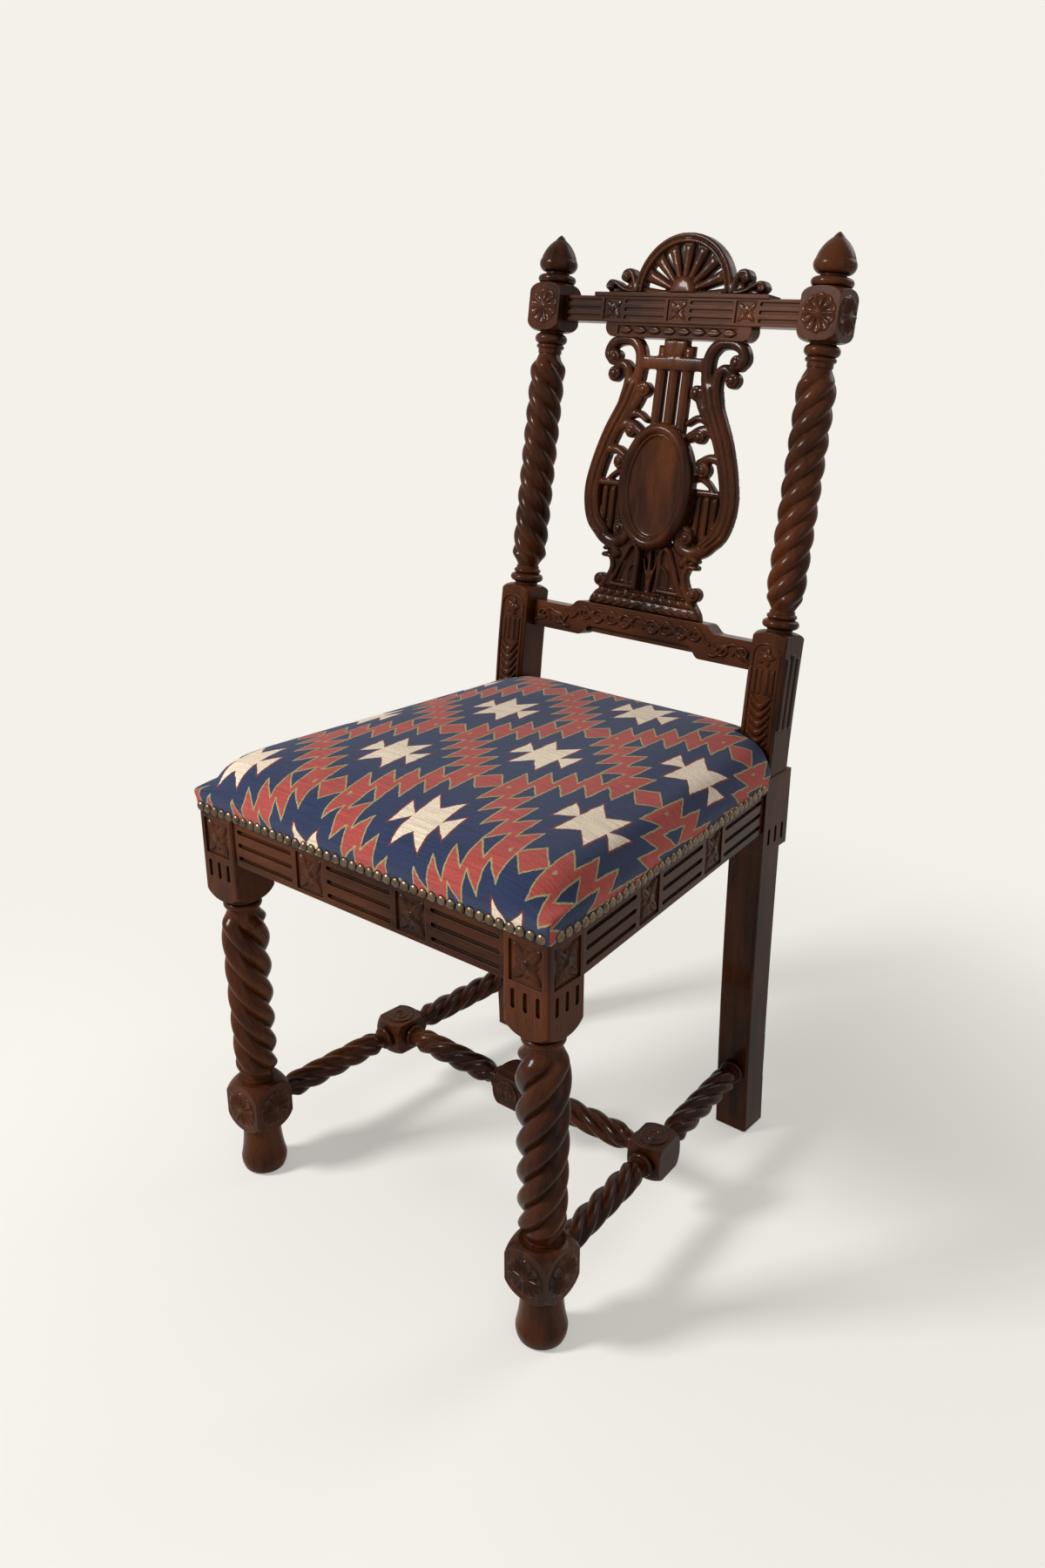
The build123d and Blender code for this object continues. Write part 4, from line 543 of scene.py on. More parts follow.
for centre, radius in BALLS:
    lyre.ball(half_x, centre, radius, 1.0, 6.2)
print("lyre:", len(STROKES), "strokes and", len(BALLS), "rolled ends on each side")

# %% [markdown]
# The foot of the lyre has two broad leaves beside a sawn slot with a lotus in it, small scrolls at its
# flanks, and a base with two rows of little leaves.

# %% Lyre: foot
PEDESTAL = [(-1, 0), (76, 0), (73, 9), (65, 19), (57, 24), (50, 36), (50, 48), (57, 56), (64, 55), (58, 64),
            (52, 68), (52, 78), (-1, 82)]
BASE = [(-1, 0), (76, 0), (74, 7), (68, 15), (60, 20), (-1, 20)]
SLOT = [(-11, 22), (11, 22), (11, 68), (5, 76), (-11, 76)]
FOOT_BALL = ((64, 28), 8.0)
LEAF = [(12, 22), (12, 66), (14, 74), (22, 78), (30, 71), (38, 54), (45, 38), (55, 22)]
lyre.raise_form(polygon(half_x, up, PEDESTAL), -1.5, 2.5, 4)
leaf_edge = polygon(half_x, up, LEAF)
lyre.raise_form(leaf_edge, 1.5, 4.5, 3.5)
lyre.groove(leaf_edge + 5.5, 5.2, 5)
lyre.draw(half_x, [(25, 20), (27, 38), (24, 48), (16, 54)], 8, 4, -0.5, 4.5)
lyre.draw(half_x, [(40, 20), (36, 36), (31, 52)], 3, 2.4, -0.5, 4.0)
lyre.pierce(polygon(half_x, up, SLOT))
lyre.raise_form(box_edge(half_x, up, -1, 12, 20, 78), -6.0, 0.4, 2)
FOOT_STROKES = [
    ([(0, 22), (3, 40), (7, 50), (9, 59)], 7, 3, -5, 5.0),
    ([(0, 40), (0, 52), (0, 66)], 8, 3, -5, 6.5),
    ([(0, 76), (6, 78), (14, 80)], 8, 8, -2, 5.0),
    ([(60, 21), (52, 33), (48, 45), (52, 56), (62, 57)], 9, 6, 1, 4.5),
    ([(44, 60), (52, 67), (62, 64)], 11, 5, 0.5, 4.5),
]
for drawn in FOOT_STROKES:
    lyre.draw(half_x, *drawn)
lyre.ball(half_x, *FOOT_BALL, 1, 6.0)
lyre.raise_form(polygon(half_x, up, BASE), 2.6, 2.6, 4)
lyre.groove(np.abs(up - 11) - 0.9 + 99 * (half_x > 68), 1.4, 0.9)
for row, leaves in ((4.5, 6), (15.5, 5)):
    for leaf in range(leaves):
        start = 5 + 11.5 * leaf
        lyre.draw(half_x, [(start, row + 2.4), (start + 5, row), (start + 10, row - 2.4)], 4, 2, 4.6, 1.9)
print("lyre foot:", len(FOOT_STROKES), "strokes on each side")

# %% [markdown]
# The gouge comes last: two grooves down each arm and an eye in every rolled end. Then the board is cut to
# its length, turned into a closed surface and set up on the rake.

# %% Lyre: grooves and saw cut
for shift in (-3.6, 4.6):
    lyre.groove(stroke(half_x, up, [(x + shift, y) for x, y in ARM], 2.6, 2.4)[0], 2.2, 1.3)
EYE_SHARE, EYE_HALF = 0.56, 0.95
for centre, radius in BALLS + [FOOT_BALL]:
    from_centre = np.hypot(half_x - centre[0], up - centre[1])
    lyre.groove(np.abs(from_centre - EYE_SHARE * radius) - EYE_HALF, 1.6, EYE_HALF)
lyre.pierce(-box_edge(lyre.x, up, -SPLAT_HALF, SPLAT_HALF, 0.0, SPLAT_HEIGHT))

points, faces = lyre.sawn(SPLAT_BACK)
spots = on_back(points[:, 0], points[:, 1] + SPLAT_FOOT, points[:, 2])
lyre_carving = piece("lyre_carving", spots, faces, wood_up, rounds=2)
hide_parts("lyre_splat")

# %% [markdown]
# The oval medallion is a moulded frame with a plain, gently dished field. A turner could make it round;
# an oval is worked by hand with the same profile all the way around, and so is this one: the profile is
# drawn once, from the outer edge inward, and carried around the oval.

# %% Medallion
HALF_ACROSS, HALF_UP, AROUND = 48.0, 69.0, 144
MEDALLION_UP = SPLAT_FOOT + 138.0
# Profile: distance in from the outer edge, height above the plane of the back
PROFILE = [(0.0, 6.2), (0.0, 9.0), (1.2, 11.8), (3.6, 14.4), (6.6, 15.5), (9.6, 14.8), (11.8, 12.8),
           (12.6, 11.9), (13.4, 12.6), (14.4, 12.4), (15.2, 11.0), (16.4, 10.2), (20.0, 9.9), (28.0, 9.5),
           (38.0, 9.2), (47.9, 9.1)]
around = np.linspace(0, 2 * np.pi, AROUND, endpoint=False)
profile = curve_through(PROFILE, steps=3)
inset, out = profile[:, 0][:, None], profile[:, 1][:, None]
oval = on_back((HALF_ACROSS - inset) * np.cos(around),
               MEDALLION_UP + (HALF_UP - inset) * np.sin(around), out + 0 * around)
medallion = piece("oval_frame", oval.reshape(-1, 3), closed_net(len(profile), AROUND), wood_up)
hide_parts("oval_medallion")

# %% [markdown]
# The cresting is a half wheel: an arch of two beads, spokes like rounded reeds that widen towards the
# rim, and a domed hub, a little taller than round. Small scrolls lean against its feet. It is carved on
# a board of its own, like the lyre, because light shows between its spokes.

# %% Fan cresting
ARCH_BASE, ARCH_RADIUS, ARCH_INNER, FAN_BACK = 348.0, 62.0, 51.5, -10.0
HUB, HUB_STRETCH = 16.0, 1.18
SPOKE_ROOT, SPOKE_TIP, SPOKES = 3.4, 15.2, 9
SCROLL_GROUND = [(52, -1), (99, -1), (97, 5), (84, 6), (74, 9), (66, 17), (58, 18)]
fan = Relief((-104, 104), (-1, ARCH_RADIUS + 2), 0.9)
side_x, rise = np.abs(fan.x), fan.v
reach = np.hypot(fan.x, rise)
for spoke in range(SPOKES):
    lean = math.pi * spoke / (SPOKES - 1)
    along = fan.x * math.cos(lean) + rise * math.sin(lean)
    across = np.abs(rise * math.cos(lean) - fan.x * math.sin(lean))
    half = (SPOKE_ROOT + (SPOKE_TIP - SPOKE_ROOT) * np.clip(along / ARCH_INNER, 0, 1)) / 2
    beyond = np.maximum(-along, along - ARCH_INNER - 1)
    fan.raise_form(np.maximum(across - half, beyond), -3, 5.0, half)
arch_middle, arch_half = (ARCH_RADIUS + ARCH_INNER) / 2, (ARCH_RADIUS - ARCH_INNER) / 2
fan.raise_form(np.abs(reach - arch_middle) - arch_half, 1.5, 0.8, 1)
for bead, half in ((59.2, 2.8), (53.8, 2.3)):
    fan.raise_form(np.abs(reach - bead) - half, 1.5, 3.4, half)
fan.raise_form(np.hypot(fan.x, rise / HUB_STRETCH) - HUB, 1.0, 4.8, 7)
fan.raise_form(polygon(side_x, rise, SCROLL_GROUND), -1, 2.5, 3)
fan.draw(side_x, [(61, 2), (64, 14), (69, 22), (76, 22), (79, 16), (74, 13)], 8, 5, 0.5, 4.5)
fan.draw(side_x, [(64, 2), (76, 4), (87, 10), (95, 12), (99, 7), (95, 4)], 6, 4.5, 0.5, 4.0)
fan.ball(side_x, (74, 17), 5.4, 0.5, 5.0)
fan.ball(side_x, (94, 6.5), 4.4, 0.5, 4.5)
fan.pierce(rise)
points, faces = fan.sawn(FAN_BACK)
spots = on_back(points[:, 0], points[:, 1] + ARCH_BASE, points[:, 2])
fan_carving = piece("fan_carving", spots, faces, wood_up, rounds=2)
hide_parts("fan_cresting")

# %% [markdown]
# Small carved ornaments repeat: square rosettes sunk in the rails and blocks, daisies on the blocks,
# lozenges on the apron. Each is carved once as low relief and set on its places by one geometry node
# tree, which turns every copy to the face it sits on. The same tree later sets the upholstery nails.

# %% Set on points
SOCKETS = [("Geometry", "NodeSocketGeometry"), ("Shape", "NodeSocketObject"),
           ("Smallest", "NodeSocketFloat"), ("Tilt", "NodeSocketFloat"), ("Seed", "NodeSocketInt"),
           ("Finish", "NodeSocketMaterial")]
set_on_points = bpy.data.node_groups.new("set_on_points", "GeometryNodeTree")
set_on_points.is_modifier = True
tree = set_on_points
socket_id = {}
for socket_name, kind in SOCKETS:
    socket = tree.interface.new_socket(socket_name, in_out="INPUT", socket_type=kind)
    socket_id[socket_name] = socket.identifier
tree.interface.new_socket("Geometry", in_out="OUTPUT", socket_type="NodeSocketGeometry")
given = add(tree, "NodeGroupInput").outputs
way = {}
for key in ("face_out", "face_up"):
    way[key] = add(tree, "GeometryNodeInputNamedAttribute", {"Name": key},
                   data_type="FLOAT_VECTOR").outputs["Attribute"]
# Each copy leans a little off its face and is a little smaller, by chance with a fixed seed
bounds = [add(tree, "ShaderNodeVectorMath", {0: (sign, sign, sign), "Scale": given["Tilt"]},
              operation="SCALE").outputs[0] for sign in (-1, 1)]
lean = add(tree, "FunctionNodeRandomValue", {"Min": bounds[0], "Max": bounds[1], "Seed": given["Seed"]},
           data_type="FLOAT_VECTOR")
leaned = add(tree, "ShaderNodeVectorMath", {0: way["face_out"], 1: lean.outputs[0]}, operation="ADD")
turn = add(tree, "FunctionNodeAxesToRotation", {
    "Primary Axis": leaned.outputs[0], "Secondary Axis": way["face_up"]},
    primary_axis="Z", secondary_axis="Y")
size = add(tree, "FunctionNodeRandomValue", {"Min": given["Smallest"], "Max": 1.0, "Seed": given["Seed"]},
           data_type="FLOAT")
shape = add(tree, "GeometryNodeObjectInfo", {"Object": given["Shape"]})
copies = add(tree, "GeometryNodeInstanceOnPoints", {
    "Points": given["Geometry"], "Instance": shape.outputs["Geometry"], "Rotation": turn.outputs[0],
    "Scale": size.outputs[1]})
real = add(tree, "GeometryNodeRealizeInstances", {"Geometry": copies.outputs[0]})
stained = add(tree, "GeometryNodeSetMaterial", {
    "Geometry": real.outputs[0], "Material": given["Finish"]})
add(tree, "NodeGroupOutput", {"Geometry": stained.outputs[0]})
print("set_on_points:", len(tree.nodes), "nodes")

# %% [markdown]
# The tree works on a cloud of points that know which way their face looks. The helper below makes that
# cloud, hands the tree its inputs by their identifiers, and keeps only the plain mesh that comes out, so
# that nothing live is left for the export to drop.

# %% Copies as one piece
def repeated(name, shape_points, shape_faces, places, finish, slot, smallest=1.0, tilt=0.0, seed=1):
    """One piece of many copies; places holds (spot in mm, way out, way up) for each."""
    form = bpy.data.meshes.new(name + "_form")
    form.from_pydata((np.asarray(shape_points) * MM).tolist(), [], shape_faces)
    form.polygons.foreach_set("use_smooth", [True] * len(form.polygons))
    form_object = put(name + "_form", form)
    mesh = bpy.data.meshes.new(name + "_places")
    mesh.from_pydata((np.array([p[0] for p in places]) * MM).tolist(), [], [])
    for key, column in (("face_out", 1), ("face_up", 2)):
        way = mesh.attributes.new(key, "FLOAT_VECTOR", "POINT")
        way.data.foreach_set("vector", np.array([p[column] for p in places], float).ravel())
    holder = put(name + "_holder", mesh)
    setter = holder.modifiers.new("set_on_points", "NODES")
    setter.node_group = set_on_points
    values = {"Shape": form_object, "Smallest": smallest, "Tilt": tilt, "Seed": seed, "Finish": finish}
    for key, value in values.items():
        setter[socket_id[key]] = value
    solid = as_built(holder)
    for made in (form_object, holder):
        bpy.data.objects.remove(made)
    solid.name = name
    done = put(name, solid)
    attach(done, "root")
    print(name, len(places), "copies,", len(solid.polygons), "faces")
    return done


# %% [markdown]
# The square rosette has four leaves that reach into the corners of its sunk panel, four short petals
# between them and a round boss. It is low relief on a small board. The daisy is a ring of scooped petals
# with sharp ridges between them and a small boss; it is round, so it is laid out on a round net.

# %% Rosette and daisy
# Petals of the rosette: reach, swell, height and depth of the vein, as shares of its half width
CORNER_LEAF, SHORT_PETAL = (1.22, 0.27, 0.8, 0.7), (0.74, 0.2, 0.6, 0.4)
ROSETTE_CELLS, BOSS_SHARE, VEIN_SHARE = 17, 0.24, 0.035
# The daisy: where its scoops start and how long they are, its rim and its boss, as shares of its radius
SCOOP_START, SCOOP_LENGTH, DAISY_RIM, DAISY_BOSS = 0.14, 0.84, 0.12, 0.17
SCOOP_DEPTH, BOSS_HEIGHT = 0.92, 1.1


def square_rosette(half_width, half_height, height):
    flower = Relief((-half_width, half_width + 0.01), (-half_height, half_height + 0.01),
                    half_width / ROSETTE_CELLS)
    x, v = flower.x, flower.v * half_width / half_height
    for petal in range(8):
        length, widest, lift, vein = CORNER_LEAF if petal % 2 else SHORT_PETAL
        turn = math.pi / 4 * petal
        along = (x * math.cos(turn) + v * math.sin(turn)) / half_width
        across = np.abs(v * math.cos(turn) - x * math.sin(turn)) / half_width
        swell = widest * np.sin(np.pi * np.clip(along / length, 0, 1)) ** 0.7
        edge = np.where((along > 0) & (along < length), across - swell, 1.0) * half_width
        flower.raise_form(edge, RIM, height * lift, 3.2)
        flower.groove(np.where(along > 0.3, across - VEIN_SHARE, 1.0) * half_width, vein, 0.8)
    boss = np.hypot(x, v) - BOSS_SHARE * half_width
    flower.raise_form(boss, 0.4 * height, 0.9 * height, BOSS_SHARE * half_width)
    return flower.low_relief(0.0)


def daisy(radius, height, petals, rings=16, steps_per_petal=10):
    """Gouged flower: each petal is one scoop, with a sharp ridge left between neighbours."""
    sectors = petals * steps_per_petal
    angles = np.arange(sectors) * 2 * np.pi / sectors
    around, reach = np.meshgrid(angles, np.linspace(0.02, 1.0, rings))
    across = np.abs(np.sin(around * petals / 2))
    along = np.clip((reach - SCOOP_START) / SCOOP_LENGTH, 0, 1)
    scoop = np.sqrt(across) * np.sin(np.pi * along) ** 0.6
    petal = height * np.clip((1 - reach) / DAISY_RIM, 0, 1) * (1 - SCOOP_DEPTH * scoop)
    boss = BOSS_HEIGHT * height * np.sqrt(np.clip(1 - (reach / DAISY_BOSS) ** 2, 0, 1))
    out = radius * reach * (1 - 0.1 * (1 - across) * reach ** 3)
    lift = np.maximum(petal, boss) - 0.3 * reach ** 9
    points = np.stack((out * np.cos(around), out * np.sin(around), lift), axis=-1)
    return points.reshape(-1, 3), closed_net(rings, sectors)


print("a rosette has", len(square_rosette(10.0, 10.0, 2.0)[1]), "faces")

# %% [markdown]
# Rosettes stand on the floor of their sunk panels: on the leg blocks, along the front rail, and along the
# side rails, which run at a slant because the seat narrows to the back. Daisies stand on the flats of
# the blocks. The places follow from the frame's own measures, in mm.

# %% Rosettes and daisies in place
UP, FRONT = (0, 0, 1), (0, -1, 0)
RAKED_OUT, RAKED_UP = (0, -math.cos(RAKE), math.sin(RAKE)), (0, math.sin(RAKE), math.cos(RAKE))
LEG_X, LEG_Y, BLOCK_HALF, ROSETTE_Z, PANEL_DEPTH = 205.5, -242.5, 25.5, 420.0, 2.2
FRONT_ROSETTE_X, FRONT_RAIL_BACK, SIDE_ROSETTE_STEP = 68.0, 3.0, 66.0
CREST_UP, CREST_ROSETTE_X, CREST_FLOOR = 330.5, 84.3, 6.4
POST_FRONT, POST_SIDE, LEG_DAISY_Z = 20.0, 21.5, 88.0
SIDE_START, SIDE_END = np.array((228.0, -217.0)), np.array((192.0, 148.5))


def side_run(start, end):
    """Length of a run along the right side of the seat, its direction and the way out from it."""
    length = float(np.hypot(*(end - start)))
    way = (end - start) / length
    return length, way, np.array((way[1], -way[0]))


side_length, side_way, side_out = side_run(SIDE_START, SIDE_END)
face_in = BLOCK_HALF - PANEL_DEPTH
rail_places, post_places, leg_places = [], [], []
for side in (-1, 1):
    rail_places.append(((side * LEG_X, LEG_Y - face_in, ROSETTE_Z), FRONT, UP))
    rail_places.append(((side * (LEG_X + face_in), LEG_Y, ROSETTE_Z), (side, 0, 0), UP))
    front_spot = (side * FRONT_ROSETTE_X, LEG_Y - face_in + FRONT_RAIL_BACK, ROSETTE_Z)
    rail_places.append((front_spot, FRONT, UP))
    for step in (-SIDE_ROSETTE_STEP, SIDE_ROSETTE_STEP):
        spot = SIDE_START + side_way * (side_length / 2 + step) - side_out * PANEL_DEPTH
        facing_out = (side * side_out[0], side_out[1], 0)
        rail_places.append(((side * spot[0], spot[1], ROSETTE_Z), facing_out, UP))
    post_places.append((tuple(on_back(side * POST_X, CREST_UP, POST_FRONT)), RAKED_OUT, RAKED_UP))
    flank_spot = tuple(on_back(side * (POST_X + POST_SIDE), CREST_UP, 0.0))
    post_places.append((flank_spot, (side, 0, 0), RAKED_UP))
    for way in ((0, -1, 0), (1, 0, 0), (-1, 0, 0)):
        leg_spot = (side * LEG_X + way[0] * BLOCK_HALF, LEG_Y + way[1] * BLOCK_HALF, LEG_DAISY_Z)
        leg_places.append((leg_spot, way, UP))
crest_places = [(tuple(on_back(x, CREST_UP, CREST_FLOOR)), RAKED_OUT, RAKED_UP)
                for x in (-CREST_ROSETTE_X, 0.0, CREST_ROSETTE_X)]
repeated("rail_rosettes", *square_rosette(18.2, 19.7, 3.1), rail_places, wood_across, "walnut")
repeated("crest_rosettes", *square_rosette(12.2, 10.8, 2.2), crest_places, wood_across, "walnut")
repeated("post_daisies", *daisy(20.0, 2.6, 10), post_places, wood_up, "walnut")
repeated("leg_daisies", *daisy(22.5, 2.6, 12), leg_places, wood_up, "walnut")

# %% [markdown]
# The centre blocks of the stretchers carry a low disc, and each disc an eye: a ring around a small dot.
# The discs are in the solids, so their tops are read from the boxes of the stretchers.

# %% Stretcher eyes
EYE_RING, EYE_RING_HALF, EYE_DOT, DISC_HEIGHT, STRETCHER_Z = 7.6, 1.7, 2.6, 1.5, 84.5
eye = Relief((-10.0, 10.1), (-10.0, 10.1), 0.6)
eye_reach = np.hypot(eye.x, eye.v)
eye.raise_form(np.abs(eye_reach - EYE_RING) - EYE_RING_HALF, RIM, 1.3, EYE_RING_HALF)
eye.raise_form(eye_reach - EYE_DOT, RIM, 1.2, EYE_DOT)
cross_low, cross_high = (np.array(corner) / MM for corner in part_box("cross_stretcher"))
cross_y = (cross_low[1] + DISC_HEIGHT + cross_high[1]) / 2
eye_places = [((0.0, cross_low[1], STRETCHER_Z), FRONT, UP)]
for side_name in ("left", "right"):
    low, high = (np.array(corner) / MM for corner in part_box("side_stretcher_" + side_name))
    eye_places.append((((low[0] + high[0]) / 2, cross_y, high[2]), UP, (0, 1, 0)))
repeated("stretcher_eyes", *eye.low_relief(0.0), eye_places, wood_across, "walnut")

# %% [markdown]
# The apron under the crest rail carries a chain of eight lozenges, each a small leaf with a ridge. One is
# carved and set eight times.

# %% Apron chain
LOZENGE_HALF, LOZENGE_HIGH, LOZENGES, LOZENGE_PITCH = 9.4, 4.2, 8, 18.9
APRON_UP, APRON_FRONT = 309.5, 4.4
lozenge = Relief((-9.6, 9.7), (-4.6, 4.7), 0.5)
leaf_half = LOZENGE_HIGH * np.clip(1 - (np.abs(lozenge.x) / LOZENGE_HALF) ** 2.2, 0, 1)
lozenge.raise_form(np.abs(lozenge.v) - leaf_half - 0.1, RIM, 2.6, 2.4)
lozenge.groove(np.abs(lozenge.v) - 0.5, 0.5, 0.5)
apron_places = []
for i in range(LOZENGES):
    spot = on_back((i - (LOZENGES - 1) / 2) * LOZENGE_PITCH, APRON_UP, APRON_FRONT)
    apron_places.append((tuple(spot), RAKED_OUT, RAKED_UP))
repeated("apron_lozenges", *lozenge.low_relief(0.0), apron_places, wood_across, "walnut")

# %% [markdown]
# A running vine is cut along the lower rail: one waving stem with a curled leaf in each hollow. The rail
# steps down at both ends, and so does the vine. It is drawn on one board, mirrored about the middle.

# %% Vine on the lower rail
MIDDLE, END, RAIL_FRONT = -5.5, -16.0, 7.0
CURL = [(-12, -3), (-7, 5), (1, 7), (6, 2), (3, -3), (-1, -1)]
# Leaves: place along the rail, height, and whether they curl up or down
LEAVES = [(19, MIDDLE, 1), (38, MIDDLE, -1), (57, MIDDLE, 1), (76, MIDDLE, -1), (112, END, -1),
          (137, END, 1)]
vine = Relief((-151, 151), (-30, 8), 0.85)
half_x = np.abs(vine.x)
middle_stem = [(x, MIDDLE + 7.5 * math.cos(math.pi * x / 19)) for x in np.arange(0, 96, 4.75)]
end_stem = [(x, END - 8.5 * math.cos(math.pi * (x - 100) / 25)) for x in np.arange(97, 152, 6.25)]
for stem in (middle_stem, end_stem):
    vine.draw(half_x, stem, 4.2, 4.2, RIM, 2.6)
for x, v, way in LEAVES:
    curl = [(x + a, v + way * (b - 1)) for a, b in CURL]
    stalk = [(x - 8, v + way * 1), (x - 3, v - way * 4), (x + 5, v - way * 7)]
    vine.draw(half_x, curl, 3.0, 5.0, RIM, 2.5)
    vine.draw(half_x, stalk, 4.6, 2.4, RIM, 2.2)
points, faces = vine.low_relief(0.0)
spots = on_back(points[:, 0], points[:, 1], points[:, 2] + RAIL_FRONT)
piece("lower_rail_vine", spots, faces, wood_across)

# %% [markdown]
# The fronts of the stiles have an arched border, a flower, two pairs of reeds and a chain of paired
# leaves; their outer flanks have three plain reeds. Both are carved flat and bent along the stile.

# %% Stiles
STILE_FACE, ARCH_SPRING, ARCH_HALF, FLOWER_UP, PETALS = 20.5, 231, 15.8, 229, 5
LEAF_ROWS, LEAF_TOP, LEAF_PITCH = 6, 178, 9.4
stile = Relief((-18.5, 18.6), (136.0, 246.0), 0.8)
across, up = np.abs(stile.x), stile.v
arch = np.where(up > ARCH_SPRING, np.hypot(across, (up - ARCH_SPRING) * 1.3), across)
stile.raise_form(np.abs(arch - ARCH_HALF) - 1.4, RIM, 2.2, 1.2)
reach, angle = np.hypot(stile.x, up - FLOWER_UP), np.arctan2(up - FLOWER_UP, stile.x)
stile.raise_form(reach - 8.6 - 2.4 * np.cos(PETALS * angle), RIM, 2.6, 5)
stile.groove(np.abs(np.sin(PETALS / 2 * angle)) * reach - 0.8, 1.2, 0.8)
stile.raise_form(reach - 2.8, 0.8, 2.2, 2.8)
for reed in (4.2, 10.4):
    stile.raise_form(box_edge(across, up, reed - 2.5, reed + 2.5, 190, 217), RIM, 2.4, 2.2)
for row in range(LEAF_ROWS):
    base = LEAF_TOP - LEAF_PITCH * row
    stile.draw(across, [(0.8, base - 1), (5, base + 2), (11, base + 9)], 8.0, 3.4, RIM, 2.8)
front_points, front_faces = stile.low_relief(0.0)

flank = Relief((-17.5, 17.6), (150.0, 240.0), 0.9)
for reed in (-11.0, 0.0, 11.0):
    reed_top = 234 - 0.3 * abs(reed)
    flank.raise_form(box_edge(flank.x, flank.v, reed - 4.6, reed + 4.6, 153, reed_top), RIM, 2.0, 2.4)
flank_points, flank_faces = flank.low_relief(0.0)
for side, side_name in ((-1, "left"), (1, "right")):
    depth, rise, out = front_points.T
    spots = on_stile(side, depth, rise, out + STILE_FACE)
    piece("stile_carving_" + side_name, spots, front_faces, wood_up)
    depth, rise, out = flank_points.T
    spots = on_stile(side, side * (out + STILE_FACE), rise, depth)
    piece("stile_reeds_" + side_name, spots, flank_faces, wood_up)

# %% [markdown]
# The seat is stuffed over the frame: one cover drawn tight over the pad, down the rails and nailed at
# its lower edge, with square folded corners at the front and a cut around each rear post. It is built
# as one closed cushion. The top is a net that follows the outline and domes up from its edge, softly at
# the corners; its height depends only on how far in from the edge a point lies.

# %% Shape of the seat
SEAT_FRONT, SEAT_REAR, SEAT_HALF, SEAT_BEND, SEAT_TAPER = -268.0, 194.5, 231.0, -217.0, 0.0985
PAD_BOTTOM, TOP_EDGE, REAR_SHARE = 462.0, -0.6, 0.6
CORNER_SOFT, CORNER_DROP, LEAST_STEP = 20.0, 0.3, 2.0
# Sections of the cover: distance in from the outline and height, over the top and down the side
CROWN = [(-0.6, 474.2), (3.0, 483.0), (8.4, 490.6), (18.0, 497.5), (34.4, 503.2), (78.4, 509.8),
         (138.4, 512.6), (240, 513)]
SKIRT = [(-0.6, 474.2), (-2.6, 470.2), (-3.5, 465.7), (-2.4, 461.4), (-1.6, 456.6), (-1.6, 451.2),
         (-1.6, 446.0), (0.0, 446.0), (0.0, 454.0), (0.0, PAD_BOTTOM)]
COLUMNS, ROWS = 60, 60


def eased(count):
    """Steps from 0 to 1 that are shorter near both ends, where the cloth bends most."""
    t = np.linspace(0, 1, count + 1)
    return 0.65 * t + 0.35 * (0.5 - 0.5 * np.cos(np.pi * t))


def seat_half(y):
    """Half width of the seat: straight at the front blocks, then narrower to the back."""
    return SEAT_HALF - SEAT_TAPER * np.maximum(y - SEAT_BEND, 0)


def seat_place(share_x, share_y, inset):
    """Plan position for shares across and along, on the outline drawn in by the inset."""
    y = SEAT_FRONT + inset + share_y * (SEAT_REAR - REAR_SHARE * inset - SEAT_FRONT - inset)
    return share_x * (seat_half(y) - inset), y


def seat_height(x, y):
    """Height of the domed top, and the softened distance in from the outline that it comes from."""
    gaps = np.stack((y - SEAT_FRONT, (SEAT_REAR - y) / REAR_SHARE, seat_half(y) - np.abs(x)))
    inset = -CORNER_SOFT * np.log(np.exp(-np.maximum(gaps, -3) / CORNER_SOFT).sum(axis=0))
    bend = curve_through(CROWN, steps=6)
    drop = np.minimum(inset - TOP_EDGE, 0) * CORNER_DROP
    return np.interp(inset, bend[:, 0], bend[:, 1]) + drop, inset


print("seat crown", round(float(seat_height(np.array(0.0), np.array(-30.0))[0]), 1), "mm up")

# %% [markdown]
# Strips continue the top down the sides. Each face keeps its place on the flat cloth in its UV map, in mm
# measured along the surface, so that the woven pattern runs on over the edge as on the real cover.

# %% Seat cushion
seat_shape = bmesh.new()
flat_place = seat_shape.loops.layers.uv.new("cloth_mm")


def add_net(x, y, z, u, v):
    """Joins one net of points in mm to the cushion, with the place of each corner on the cloth."""
    lines = zip(x * MM, y * MM, z * MM)
    corners = [[seat_shape.verts.new(spot) for spot in zip(*line)] for line in lines]
    for r in range(len(corners) - 1):
        for c in range(len(corners[0]) - 1):
            four = ((r, c), (r, c + 1), (r + 1, c + 1), (r + 1, c))
            face = seat_shape.faces.new([corners[i][j] for i, j in four])
            for loop, (i, j) in zip(face.loops, four):
                loop[flat_place].uv = (u[i, j], v[i, j])


def laid_flat(run, rise, axis, middle):
    """Length along the surface from its middle, in the direction of the axis."""
    steps = np.hypot(np.diff(run, axis=axis), np.diff(rise, axis=axis))
    length = np.cumsum(steps, axis=axis)
    length = np.concatenate((0 * np.take(length, [0], axis), length), axis=axis)
    return length - np.take(length, [middle], axis)


across_shares, along_shares = 2 * eased(COLUMNS) - 1, eased(ROWS)
share_x, share_y = np.meshgrid(across_shares, along_shares)
top_x, top_y = seat_place(share_x, share_y, TOP_EDGE)
top_z = seat_height(top_x, top_y)[0]
flat_x = laid_flat(top_x, top_z, 1, COLUMNS // 2)
flat_y = laid_flat(top_y, top_z, 0, ROWS // 2) + top_y[ROWS // 2, 0]
add_net(top_x, top_y, top_z, flat_x, flat_y)
low_x, low_y = seat_place(share_x, share_y, 0.0)
add_net(low_x, low_y, np.full_like(low_x, PAD_BOTTOM), low_x, low_y)

